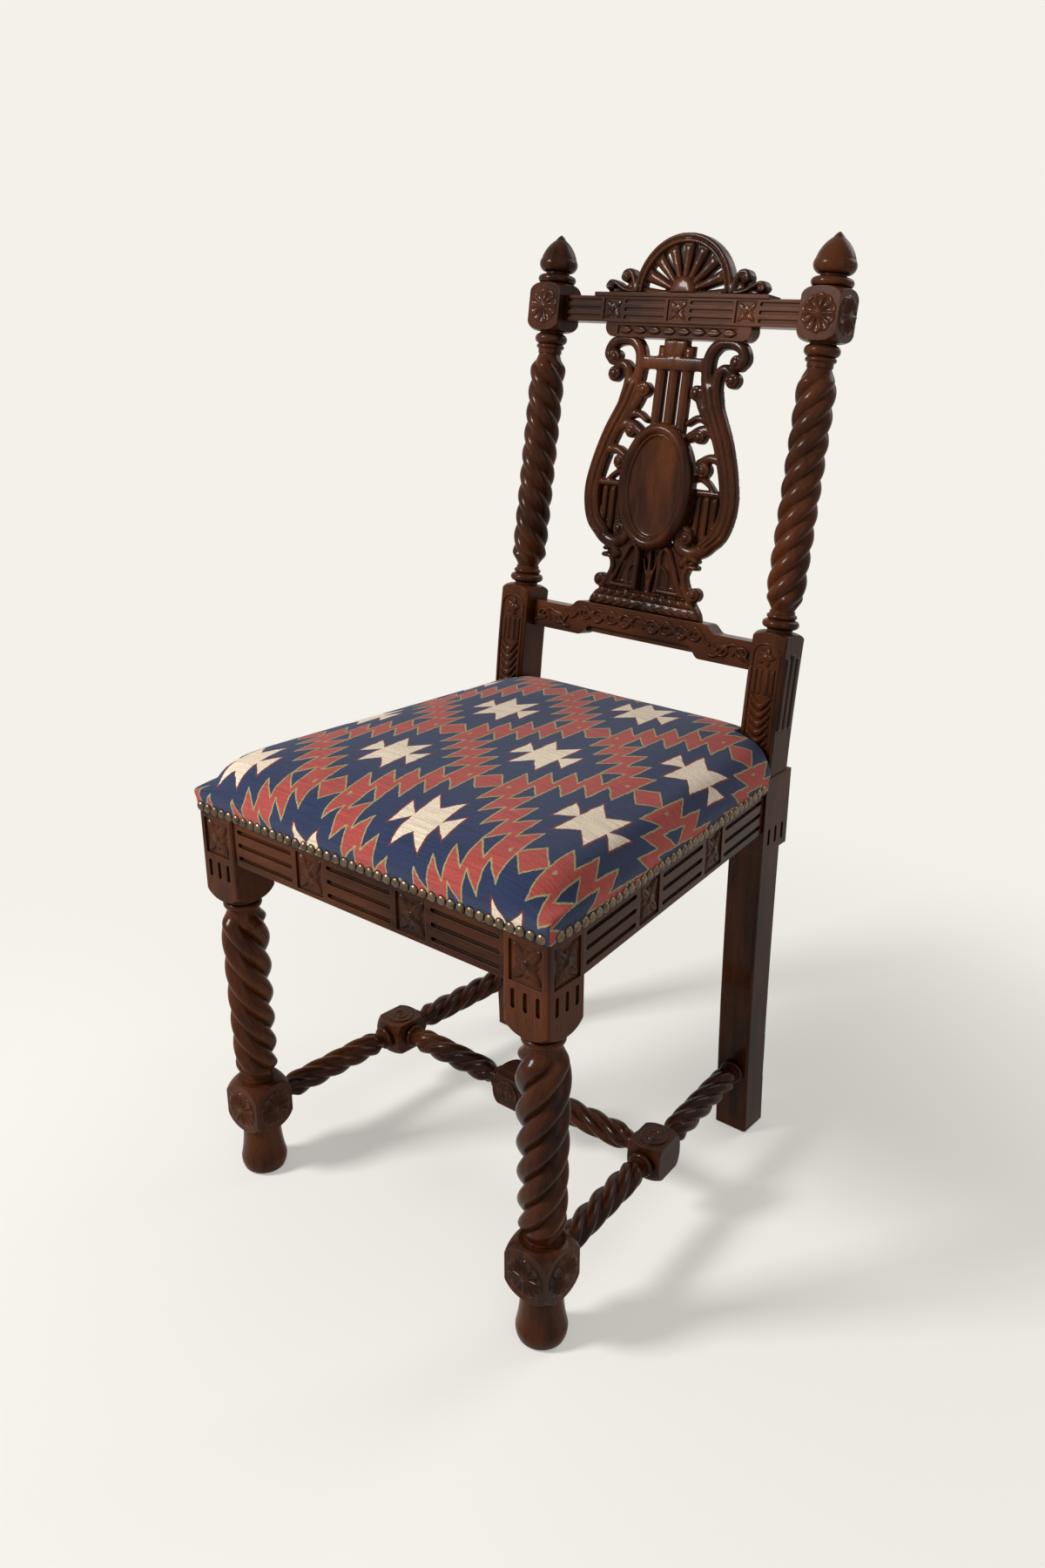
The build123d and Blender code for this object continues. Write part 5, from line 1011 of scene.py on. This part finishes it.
inset, height = np.array(SKIRT).T[:, :, None]
down = np.concatenate(([0], np.cumsum(np.hypot(*np.diff(SKIRT, axis=0).T))))[:, None]
for at_side in (False, True):
    for end in (0, -1):
        shares = along_shares if at_side else across_shares
        outward = -1 if end == 0 else 1
        along = shares[None, :] + 0 * inset
        if at_side:
            x, y = seat_place(outward, along, inset)
            u, v = flat_x[:, end] + outward * down, flat_y[:, end] + 0 * down
        else:
            x, y = seat_place(along, (outward + 1) / 2, inset)
            u, v = flat_x[end] + 0 * down, flat_y[end] + outward * down
        x, y, z = (np.broadcast_to(part, along.shape).copy() for part in (x, y, height))
        # The strip starts at the edge of the top, and its next line stays below that edge
        z[0] = seat_height(x[0], y[0])[0]
        z[1] = np.minimum(z[1], z[0] - LEAST_STEP)
        add_net(x, y, z, u, v)
bmesh.ops.remove_doubles(seat_shape, verts=seat_shape.verts, dist=0.02 * MM)
bmesh.ops.recalc_face_normals(seat_shape, faces=seat_shape.faces)
open_edges = sum(1 for edge in seat_shape.edges if len(edge.link_faces) != 2)
seat_mesh = bpy.data.meshes.new("seat_cushion")
seat_shape.to_mesh(seat_mesh)
seat_shape.free()
seat = put("seat_cushion", seat_mesh)
print("cushion net:", len(seat_mesh.vertices), "points,", open_edges, "open edges")

# %% [markdown]
# The stuffing pushes the cover out between its fixed edges. A short cloth simulation with pressure and
# no gravity does the same to the net: everything near the rails is held, the top is free. Only a few
# millimetres of its movement are kept, since a nailed cover is tight.

# %% Seat cloth simulation
SIM_FRAMES, MOST_MM, HELD_MM, FREE_MM = 14, 3.0, 6, 22
rest = np.array([vertex.co for vertex in seat_mesh.vertices]) / MM
from_edge = seat_height(rest[:, 0], rest[:, 1])[1]
free = np.clip((from_edge - HELD_MM) / FREE_MM, 0, 1) * (rest[:, 2] > PAD_BOTTOM + 1)
held = seat.vertex_groups.new(name="held")
for index, share in enumerate(free):
    held.add([index], 1.0 - float(share), "REPLACE")
cloth = seat.modifiers.new("cover", "CLOTH")
cloth.settings.vertex_group_mass = "held"
cloth.settings.quality = 6
cloth.settings.mass = 0.4
cloth.settings.tension_stiffness = 20
cloth.settings.compression_stiffness = 20
cloth.settings.bending_stiffness = 2
cloth.settings.use_pressure = True
cloth.settings.uniform_pressure_force = 4.0
cloth.settings.effector_weights.gravity = 0.0
cloth.collision_settings.use_collision = False
cloth.point_cache.frame_start = 1
cloth.point_cache.frame_end = SIM_FRAMES
for step in range(1, SIM_FRAMES + 1):
    bpy.context.scene.frame_set(step)
swollen = seat.evaluated_get(bpy.context.evaluated_depsgraph_get())
moved = np.array([vertex.co for vertex in swollen.data.vertices]) / MM - rest
moved = MOST_MM * np.tanh(moved / MOST_MM) * free[:, None]
seat.modifiers.clear()
seat.vertex_groups.clear()
bpy.context.scene.frame_set(1)
seat_mesh.vertices.foreach_set("co", ((rest + moved) * MM).ravel())
print("cover moved by up to", round(float(np.abs(moved).max()), 2), "mm")

# %% [markdown]
# One round of subdivision smooths the net, then the cover is cut out around the two rear posts.

# %% Seat finished
NOTCH_X, NOTCH_Y = 150.7, 148.2
CUT_SIZE, CUT_HEIGHT, CUT_MIDDLE = 120, 160, 470
smooth = seat.modifiers.new("smooth", "SUBSURF")
smooth.levels = smooth.render_levels = 1
cutters = []
for side in (-1, 1):
    block = bmesh.new()
    bmesh.ops.create_cube(block, size=1.0)
    for vertex in block.verts:
        x = side * (NOTCH_X + (vertex.co.x * side + 0.5) * CUT_SIZE)
        y = NOTCH_Y + (vertex.co.y + 0.5) * CUT_SIZE
        vertex.co = (x * MM, y * MM, (CUT_MIDDLE + vertex.co.z * CUT_HEIGHT) * MM)
    bmesh.ops.recalc_face_normals(block, faces=block.faces)
    cut_mesh = bpy.data.meshes.new("post_cut")
    block.to_mesh(cut_mesh)
    block.free()
    cutter = put("post_cut", cut_mesh)
    cutters.append(cutter)
    cut = seat.modifiers.new("post_cut", "BOOLEAN")
    cut.operation = "DIFFERENCE"
    cut.solver = "EXACT"
    cut.object = cutter
cut_seat = as_built(seat)
seat.modifiers.clear()
seat.data = cut_seat
for cutter in cutters:
    bpy.data.objects.remove(cutter)
cut_seat.polygons.foreach_set("use_smooth", [True] * len(cut_seat.polygons))
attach(seat, "root")
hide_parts("seat_cover", "seat_pad")
print("seat cushion", len(cut_seat.polygons), "faces")

# %% [markdown]
# The cover is a flat-woven wool of the kilim kind: large serrated diamonds in navy on a brick red
# ground, outlined in olive, each with a cream star that has a plum edge. A slit weave steps its slanted
# edges in columns of threads, and that is how the pattern is drawn here: the flat cloth is folded into
# one quarter of a diamond, cut in columns, and each column has its own slanted edge.

# %% Woven pattern
RED, NAVY, OLIVE = linear("#9E433C"), linear("#222D4B"), linear("#948A5E")
CREAM, PLUM = linear("#D9C8B0"), linear("#6A2A2E")
# Half a diamond and one column of threads, the middle of the first diamond, and how far threads wander
HALF_WIDE, HALF_LONG, COLUMN = 124.6, 86.1, 16.8
MIDDLE_U, MIDDLE_V, WANDER = 61.2, -61.7, 3.0
# Navy field: height of its edge in the first column, step down per column, slant within a column
FIRST_EDGE, STEP_DOWN, SLANT = 66.3, 16.6, 19.0
# Olive outline: half width on the slants in mm and on the slits in columns, and where the slits run
LINE_HALF, SLIT_HALF, SLIT_FOOT, SLIT_LENGTH = 1.3, 0.048, 65.3, 37.4
STAR_EDGE = 1.9
FOLD = [
    ("u0", "ADD", "u", -MIDDLE_U), ("v0", "ADD", "v", -MIDDLE_V),
    ("x_a", "PINGPONG", "u0", HALF_WIDE), ("y_a", "PINGPONG", "v0", HALF_LONG),
    ("x_b", "SUBTRACT", HALF_WIDE, "x_a"), ("y_b", "SUBTRACT", HALF_LONG, "y_a"),
]
DIAMOND = [
    # Which column of threads, and how far across it
    ("q", "DIVIDE", "x", COLUMN), ("k", "FLOOR", "q"), ("f", "FRACT", "q"),
    # Navy field under a stepped edge
    ("fall", "MULTIPLY_ADD", "k", -STEP_DOWN, FIRST_EDGE), ("edge", "MULTIPLY_ADD", "f", SLANT, "fall"),
    ("navy", "LESS_THAN", "y", "edge"),
    # Olive outline along the slants, and up the slits between the columns
    ("off", "SUBTRACT", "y", "edge"), ("far", "ABSOLUTE", "off"), ("slant", "LESS_THAN", "far", LINE_HALF),
    ("side", "ROUND", "q"), ("at_side", "COMPARE", "q", "side", SLIT_HALF),
    ("inner", "GREATER_THAN", "side", 0.5),
    ("low", "MULTIPLY_ADD", "side", -STEP_DOWN, SLIT_FOOT), ("high", "ADD", "low", SLIT_LENGTH),
    ("over", "GREATER_THAN", "y", "low"), ("under", "LESS_THAN", "y", "high"),
    ("side_1", "MULTIPLY", "at_side", "inner"), ("side_2", "MULTIPLY", "over", "under"),
    ("side_3", "MULTIPLY", "side_1", "side_2"), ("olive", "MAXIMUM", "slant", "side_3"),
    # Cream star of two arms, each with its slope, its height at the middle and its reach
    ("arm_1", "MULTIPLY_ADD", "x", 1.12, 18.0), ("arm_2", "MULTIPLY_ADD", "x", 0.95, -14.2),
    ("rise_1", "SUBTRACT", "y", "arm_1"), ("rise_2", "SUBTRACT", "y", "arm_2"),
    ("wide_1", "SUBTRACT", "x", 16.5), ("wide_2", "SUBTRACT", "x", 33.0),
    ("star_1", "MAXIMUM", "rise_1", "wide_1"), ("star_2", "MAXIMUM", "rise_2", "wide_2"),
    ("star_3", "MINIMUM", "star_1", "star_2"),
    ("cream", "LESS_THAN", "star_3", 0.0), ("plum", "LESS_THAN", "star_3", STAR_EDGE),
]


def folded(rows, fold):
    """The same rows for one of the two sets of diamonds, with its mark on every name."""
    marked = []
    for name, operation, *terms in rows:
        terms = [term + fold if isinstance(term, str) else term for term in terms]
        marked.append((name + fold, operation, *terms))
    return marked


wool, tree = new_material("kilim_wool")
flat = add(tree, "ShaderNodeUVMap", uv_map="cloth_mm")
shaky = add(tree, "ShaderNodeTexNoise", {"Vector": flat.outputs[0], "Scale": 0.09, "Detail": 2.0})
shift = add(tree, "ShaderNodeVectorMath", {0: shaky.outputs["Color"], 1: (-0.5, -0.5, -0.5)},
            operation="ADD")
woven = add(tree, "ShaderNodeVectorMath", {
    0: shift.outputs[0], 1: (WANDER, WANDER, 0.0), 2: flat.outputs[0]}, operation="MULTIPLY_ADD")
split = add(tree, "ShaderNodeSeparateXYZ", {0: woven.outputs[0]})
known = {"u": split.outputs[0], "v": split.outputs[1]}
steps = FOLD + folded(DIAMOND, "_a") + folded(DIAMOND, "_b")
steps += [(name, "MAXIMUM", name + "_a", name + "_b") for name in ("navy", "olive", "plum", "cream")]
for name, operation, *terms in steps:
    inputs = {i: known.get(term, term) for i, term in enumerate(terms)}
    known[name] = add(tree, "ShaderNodeMath", inputs, operation=operation).outputs[0]
colour = RED
for name, paint in (("navy", NAVY), ("olive", OLIVE), ("plum", PLUM), ("cream", CREAM)):
    dyed = add(tree, "ShaderNodeMix", {
        "Factor_Float": known[name], "A_Color": colour, "B_Color": paint}, data_type="RGBA")
    colour = dyed.outputs[2]
print("woven pattern:", len(steps), "maths steps")

# %% [markdown]
# Wool is never one flat colour: every few rows the yarn took the dye a little lighter or darker, and
# loose fibres make a fine fleck. Weft ribs run across the seat, one every two millimetres. Ribs and
# fibres are too small to model, so they only lift the surface in the shader.

# %% Wool
RIB_SCALE, FIBRE_SHARE, NAP_MM = 0.157, 0.6, 0.45
# Unevenness of the yarn: length and width in mm, detail, darkest and lightest tone
YARN = [("streak", 45, 2.2, 3.0, 0.78, 1.2), ("fleck", 2.2, 1.0, 2.0, 0.8, 1.18)]
noise, level = {}, {}
for key, length, width, detail, darkest, lightest in YARN:
    sized = add(tree, "ShaderNodeMapping", {
        "Vector": flat.outputs[0], "Scale": (1 / length, 1 / width, 1.0)})
    noise[key] = add(tree, "ShaderNodeTexNoise", {
        "Vector": sized.outputs[0], "Scale": 1.0, "Detail": detail}).outputs[0]
    level[key] = add(tree, "ShaderNodeMapRange", {
        "Value": noise[key], "From Min": 0.3, "From Max": 0.7, "To Min": darkest,
        "To Max": lightest}).outputs[0]
tone = add(tree, "ShaderNodeMath", {0: level["streak"], 1: level["fleck"]}, operation="MULTIPLY")
dyed = add(tree, "ShaderNodeVectorMath", {0: colour, "Scale": tone.outputs[0]}, operation="SCALE")
ribs = add(tree, "ShaderNodeTexWave", {
    "Vector": woven.outputs[0], "Scale": RIB_SCALE, "Distortion": 0.0},
    wave_type="BANDS", bands_direction="Y", wave_profile="SIN")
lift = add(tree, "ShaderNodeMath", {0: noise["fleck"], 1: FIBRE_SHARE, 2: ribs.outputs["Fac"]},
           operation="MULTIPLY_ADD")
nap = add(tree, "ShaderNodeBump", {"Strength": 0.6, "Distance": NAP_MM * MM, "Height": lift.outputs[0]})
cloth_face = add(tree, "ShaderNodeBsdfPrincipled", {
    "Base Color": dyed.outputs[0], "Roughness": 0.92, "Normal": nap.outputs[0], "Specular IOR Level": 0.2,
    "Sheen Weight": 0.08, "Sheen Roughness": 0.6})
add(tree, "ShaderNodeOutputMaterial", {"Surface": cloth_face.outputs[0]})
seat.data.materials.clear()
seat.data.materials.append(wool)
print("wool:", len(tree.nodes), "nodes with the pattern")

# %% [markdown]
# The cover is close-nailed: round-headed brass nails touch each other along the front and both sides.
# They were browned when new and have worn bright in patches; an occlusion lookup paints shade in the
# browned colour into the gaps between the heads, which leaves their tops the brightest.

# %% Antique brass
# The browned colour also serves as painted shade between the heads
BROWNED_AND_SHADED, BRIGHT, GAP_MM = linear("#2E2620"), linear("#6E5E4C"), 5
brass, tree = new_material("antique_brass")
place = add(tree, "ShaderNodeTexCoord")
worn = add(tree, "ShaderNodeTexNoise", {"Vector": place.outputs["Object"], "Scale": 160.0, "Detail": 3.0})
# Random browning times occlusion: the occlusion part paints shade into the gaps between the heads
shade = add(tree, "ShaderNodeAmbientOcclusion", {"Distance": GAP_MM * MM}, samples=6)
browning_and_gap_shade = add(tree, "ShaderNodeMath", {0: worn.outputs[0], 1: shade.outputs["AO"]}, operation="MULTIPLY")
spread = add(tree, "ShaderNodeMapRange", {"Value": browning_and_gap_shade.outputs[0], "From Min": 0.2, "From Max": 0.6})
metal = add(tree, "ShaderNodeMix", {
    "Factor_Float": spread.outputs[0], "A_Color": BROWNED_AND_SHADED, "B_Color": BRIGHT}, data_type="RGBA")
polish = add(tree, "ShaderNodeMapRange", {
    "Value": worn.outputs[0], "From Min": 0.3, "From Max": 0.7, "To Min": 0.42, "To Max": 0.28})
domed = add(tree, "ShaderNodeBsdfPrincipled", {
    "Base Color": metal.outputs[2], "Metallic": 1.0, "Roughness": polish.outputs[0]})
add(tree, "ShaderNodeOutputMaterial", {"Surface": domed.outputs[0]})
print("antique brass:", len(tree.nodes), "nodes")

# %% [markdown]
# One low dome is set along the three edges, each copy a little smaller or more tilted than the next, as
# hammered nails are. The side rows follow the slanted rails and end with four nails on the leg's block.

# %% Upholstery nails
NAIL_PITCH, NAIL_Z, NAIL_SIDES = 11.2, 451.6, 14
# Rings of the dome: radius and height in mm
NAIL_RINGS = [(5.5, -0.6), (5.5, 0.4), (4.7, 1.6), (3.2, 2.65), (1.2, 3.15)]
FRONT_NAILS, FRONT_NAIL_Y = 41, -269.8
SIDE_NAILS, SIDE_FIRST, SIDE_LIFT = 32, 5.2, 0.2
BLOCK_NAILS, BLOCK_NAIL_X, BLOCK_FIRST_Y = 4, 232.8, -222.2
SMALLEST_NAIL, NAIL_TILT, FIRST_SEED = 0.95, 0.05, 3
NAILS_START, NAILS_END = np.array((232.6, -217.0)), np.array((196.6, 148.2))
nail_points = []
for ring_radius, ring_height in NAIL_RINGS:
    for corner in range(NAIL_SIDES):
        turn = 2 * math.pi * corner / NAIL_SIDES
        nail_points.append((ring_radius * math.cos(turn), ring_radius * math.sin(turn), ring_height))
nail_faces = closed_net(len(NAIL_RINGS), NAIL_SIDES)
nail_faces.append(tuple(range(len(nail_points) - NAIL_SIDES, len(nail_points))))
nail_faces.append(tuple(range(NAIL_SIDES - 1, -1, -1)))

front_row = [(((i - FRONT_NAILS // 2) * NAIL_PITCH, FRONT_NAIL_Y, NAIL_Z), FRONT, UP)
             for i in range(FRONT_NAILS)]
nail_rows = {"front": front_row}
_, nail_way, nail_out = side_run(NAILS_START, NAILS_END)
for side, side_name in ((-1, "left"), (1, "right")):
    row = []
    for i in range(SIDE_NAILS):
        spot = NAILS_START + nail_way * (SIDE_FIRST + NAIL_PITCH * i) + nail_out * SIDE_LIFT
        row.append(((side * spot[0], spot[1], NAIL_Z), (side * nail_out[0], nail_out[1], 0), UP))
    for i in range(BLOCK_NAILS):
        spot = (side * BLOCK_NAIL_X, BLOCK_FIRST_Y - NAIL_PITCH * i, NAIL_Z)
        row.append((spot, (side, 0, 0), UP))
    nail_rows[side_name] = row
for seed, (row_name, row) in enumerate(nail_rows.items()):
    nails = repeated("nails_" + row_name, nail_points, nail_faces, row, brass, "brass",
                     smallest=SMALLEST_NAIL, tilt=NAIL_TILT, seed=seed + FIRST_SEED)
    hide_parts("upholstery_nails_" + row_name)

# %% [markdown]
# Under the seat, jute webbing is strained across the frame, over and under, a hessian cloth lies on it,
# and a black dust cloth closes the frame from below. They show only from underneath, so each is a thin
# sheet with the right weave and no more. All three are plain weaves, whose warp and weft are drawn as
# two crossed waves.

# %% Plain weaves
def plain_weave(name, thread, gap, thread_mm):
    """Finish for any cloth that lies level; the bands of a wave texture are 2 pi / (20 scale) apart."""
    made, tree = new_material(name)
    place = add(tree, "ShaderNodeTexCoord").outputs["Object"]
    scale = 2 * math.pi / (20 * thread_mm * MM)
    warp, weft = (add(tree, "ShaderNodeTexWave", {"Vector": place, "Scale": scale},
                      bands_direction=axis).outputs["Fac"] for axis in "XY")
    cross = add(tree, "ShaderNodeMath", {0: warp, 1: weft}, operation="MULTIPLY")
    uneven = add(tree, "ShaderNodeTexNoise", {"Vector": place, "Scale": 220.0, "Detail": 2.0})
    lift = add(tree, "ShaderNodeMath", {0: uneven.outputs[0], 1: 0.5, 2: cross.outputs[0]},
               operation="MULTIPLY_ADD")
    tone = add(tree, "ShaderNodeMapRange", {"Value": lift.outputs[0], "From Min": 0.1, "From Max": 0.9})
    dyed = add(tree, "ShaderNodeMix", {
        "Factor_Float": tone.outputs[0], "A_Color": gap, "B_Color": thread}, data_type="RGBA")
    bump = add(tree, "ShaderNodeBump", {"Strength": 0.7, "Distance": 0.3 * MM, "Height": lift.outputs[0]})
    face = add(tree, "ShaderNodeBsdfPrincipled", {
        "Base Color": dyed.outputs[2], "Roughness": 0.95, "Normal": bump.outputs[0],
        "Specular IOR Level": 0.15})
    add(tree, "ShaderNodeOutputMaterial", {"Surface": face.outputs[0]})
    return made


jute = plain_weave("jute_webbing", linear("#A88F66"), linear("#6E5A3B"), 2.4)
sacking = plain_weave("jute_hessian", linear("#B0925F"), linear("#5E4A2C"), 1.6)
calico = plain_weave("black_calico", linear("#2A2A2D"), linear("#121214"), 0.9)
print("three plain weaves")

# %% [markdown]
# Three straps run from front to back and three from side to side. They are woven through each other, so
# each strap rises and dips between its neighbours. A strap is a thin closed sheet: a net for its top, the
# same net for its underside and a rim between them.

# %% Webbing
WEB_WIDTH, WEB_THICK, WEB_ACROSS, WEB_ALONG = 48.0, 1.3, 88.0, 96.0
WEB_MIDDLE, WEB_WAVE, WEB_STEPS, WEB_LINES = 459.5, 0.72, 96, 9
FRAME_FRONT, FRAME_REAR, CROSS_Y = -252.0, 194.5, -34.25
RAIL_THICK, TACK_SHARE = 26, 0.3


def thin_sheets(name, nets, thickness, finish):
    """One piece of closed thin sheets; each net is (x, y, z of its middle) as grids in mm."""
    points, faces = [], []
    for x, y, z in nets:
        base, count = len(points), x.size
        for lift in (-thickness / 2, thickness / 2):
            points += np.stack((x, y, z + lift), axis=-1).reshape(-1, 3).tolist()
        index = np.arange(count).reshape(x.shape) + base
        quads = open_net(*x.shape) + base
        rim = np.concatenate((index[0, :-1], index[:-1, -1], index[-1, :0:-1], index[:0:-1, 0]))
        ahead = np.roll(rim, -1)
        around = np.stack((rim, ahead, ahead + count, rim + count), axis=-1)
        faces += quads.tolist() + (quads[:, ::-1] + count).tolist() + around.tolist()
    return piece(name, points, faces, finish)


strap = np.linspace(-WEB_WIDTH / 2, WEB_WIDTH / 2, WEB_LINES)
bands = []
for i in (-1, 0, 1):
    run = np.linspace(FRAME_FRONT, FRAME_REAR, WEB_STEPS)
    y, x = np.meshgrid(run, i * WEB_ACROSS + strap, indexing="ij")
    bands.append((x, y, WEB_MIDDLE + WEB_WAVE * np.cos(np.pi * ((y - CROSS_Y) / WEB_ALONG + i))))
lengthwise = thin_sheets("jute_lengthwise", bands, WEB_THICK, jute)
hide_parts("webbing_lengthwise")

bands = []
for j in (-1, 0, 1):
    middle_y = CROSS_Y + j * WEB_ALONG
    back_by = middle_y + WEB_WIDTH / 2 - SIDE_START[1]
    reach = SIDE_START[0] + side_way[0] / side_way[1] * back_by - TACK_SHARE * RAIL_THICK / side_way[1]
    x, y = np.meshgrid(np.linspace(-reach, reach, WEB_STEPS), middle_y + strap, indexing="ij")
    bands.append((x, y, WEB_MIDDLE - WEB_WAVE * np.cos(np.pi * (x / WEB_ACROSS + j))))
crosswise = thin_sheets("jute_crosswise", bands, WEB_THICK, jute)
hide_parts("webbing_crosswise")

# %% [markdown]
# The hessian is cut to the frame and tacked on top of it. The dust cloth is cut out around the legs in
# front and the posts behind, and sags a little between the rails.

# %% Hessian and dust cloth
CLOTH_LINES, SQUARE_MM = 41, 1e-6
SACK_Z, SACK_THICK, SACK_INSET = 461.45, 0.9, 13.0
DUST_Z, DUST_THICK, DUST_INSET, DUST_SAG = 395.5, 0.8, 12.0, 4.0
SAG_FRONT, SAG_REAR, SAG_EASE, LEG_CUT = -230, 165, 90, 179.7
# Rows of the dust cloth between the legs, between the side rails and between the posts: from, to, count
DUST_ROWS = [(-256, -217.0, 6), (-216.7, 147.9, 40), (NOTCH_Y, 185.5, 6)]
across_cloth = np.linspace(-1, 1, CLOTH_LINES)
y, share = np.meshgrid(np.linspace(FRAME_FRONT, NOTCH_Y, CLOTH_LINES), across_cloth, indexing="ij")
x = share * (SEAT_HALF - SEAT_TAPER * (y - SEAT_BEND) - SACK_INSET)
sack_net = (x, y, np.full_like(x, SACK_Z))
sack = thin_sheets("jute_hessian_cloth", [sack_net], SACK_THICK, sacking)
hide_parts("hessian")

at_legs, at_rails, at_posts = (np.linspace(*run) for run in DUST_ROWS)
between_rails = SEAT_HALF - SEAT_TAPER * (at_rails - SEAT_BEND) - DUST_INSET
rows_y = np.concatenate((at_legs, at_rails, at_posts))
wide = np.concatenate((np.full(len(at_legs), LEG_CUT), between_rails, np.full(len(at_posts), NOTCH_X)))
y, share = np.meshgrid(rows_y, across_cloth, indexing="ij")
x = share * wide[:, None]
hang_along = np.clip((y - SAG_FRONT) / SAG_EASE, 0, 1) * np.clip((SAG_REAR - y) / SAG_EASE, 0, 1)
sag = DUST_SAG * np.clip(1 - share ** 2, 0, 1) * hang_along
dust = thin_sheets("calico_dust_cloth", [(x, y, DUST_Z - sag)], DUST_THICK, calico)
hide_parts("dust_cover")

# %% [markdown]
# What is left is plain: unfinished corner blocks and steel screws inside the frame, and dark felt pads
# under the feet, whose dark colour is painted shade for the shadow line under each foot. One table
# holds their finishes, each a fine grit of two tones.

# %% Blocks, screws and pads
# Name, solids, dark and light tone, metal, roughness, scale of the grit per metre
PLAIN = [
    ("raw_timber", ["corner_blocks"], "#8E6A45", "#B08A5F", 0.0, 0.75, 90.0),
    ("plain_steel", ["corner_block_screws"], "#77756F", "#A09D96", 1.0, 0.38, 400.0),
    # Dark pads under the feet: their dark colour is painted shade for the shadow line under each foot
    ("dark_felt_as_foot_shadow", ["foot_glides"], "#241F1B", "#3A332D", 0.0, 0.97, 900.0),
]
for finish_name, names, dark, light, metal_share, roughness, grain in PLAIN:
    made, tree = new_material(finish_name)
    place = add(tree, "ShaderNodeTexCoord")
    grit = add(tree, "ShaderNodeTexNoise", {
        "Vector": place.outputs["Object"], "Scale": grain, "Detail": 3.0})
    mixed = add(tree, "ShaderNodeMix", {
        "Factor_Float": grit.outputs[0], "A_Color": linear(dark), "B_Color": linear(light)},
        data_type="RGBA")
    face = add(tree, "ShaderNodeBsdfPrincipled", {
        "Base Color": mixed.outputs[2], "Metallic": metal_share, "Roughness": roughness})
    add(tree, "ShaderNodeOutputMaterial", {"Surface": face.outputs[0]})
    give(names, made)
print("plain finishes on", sum(len(row[1]) for row in PLAIN), "solids")
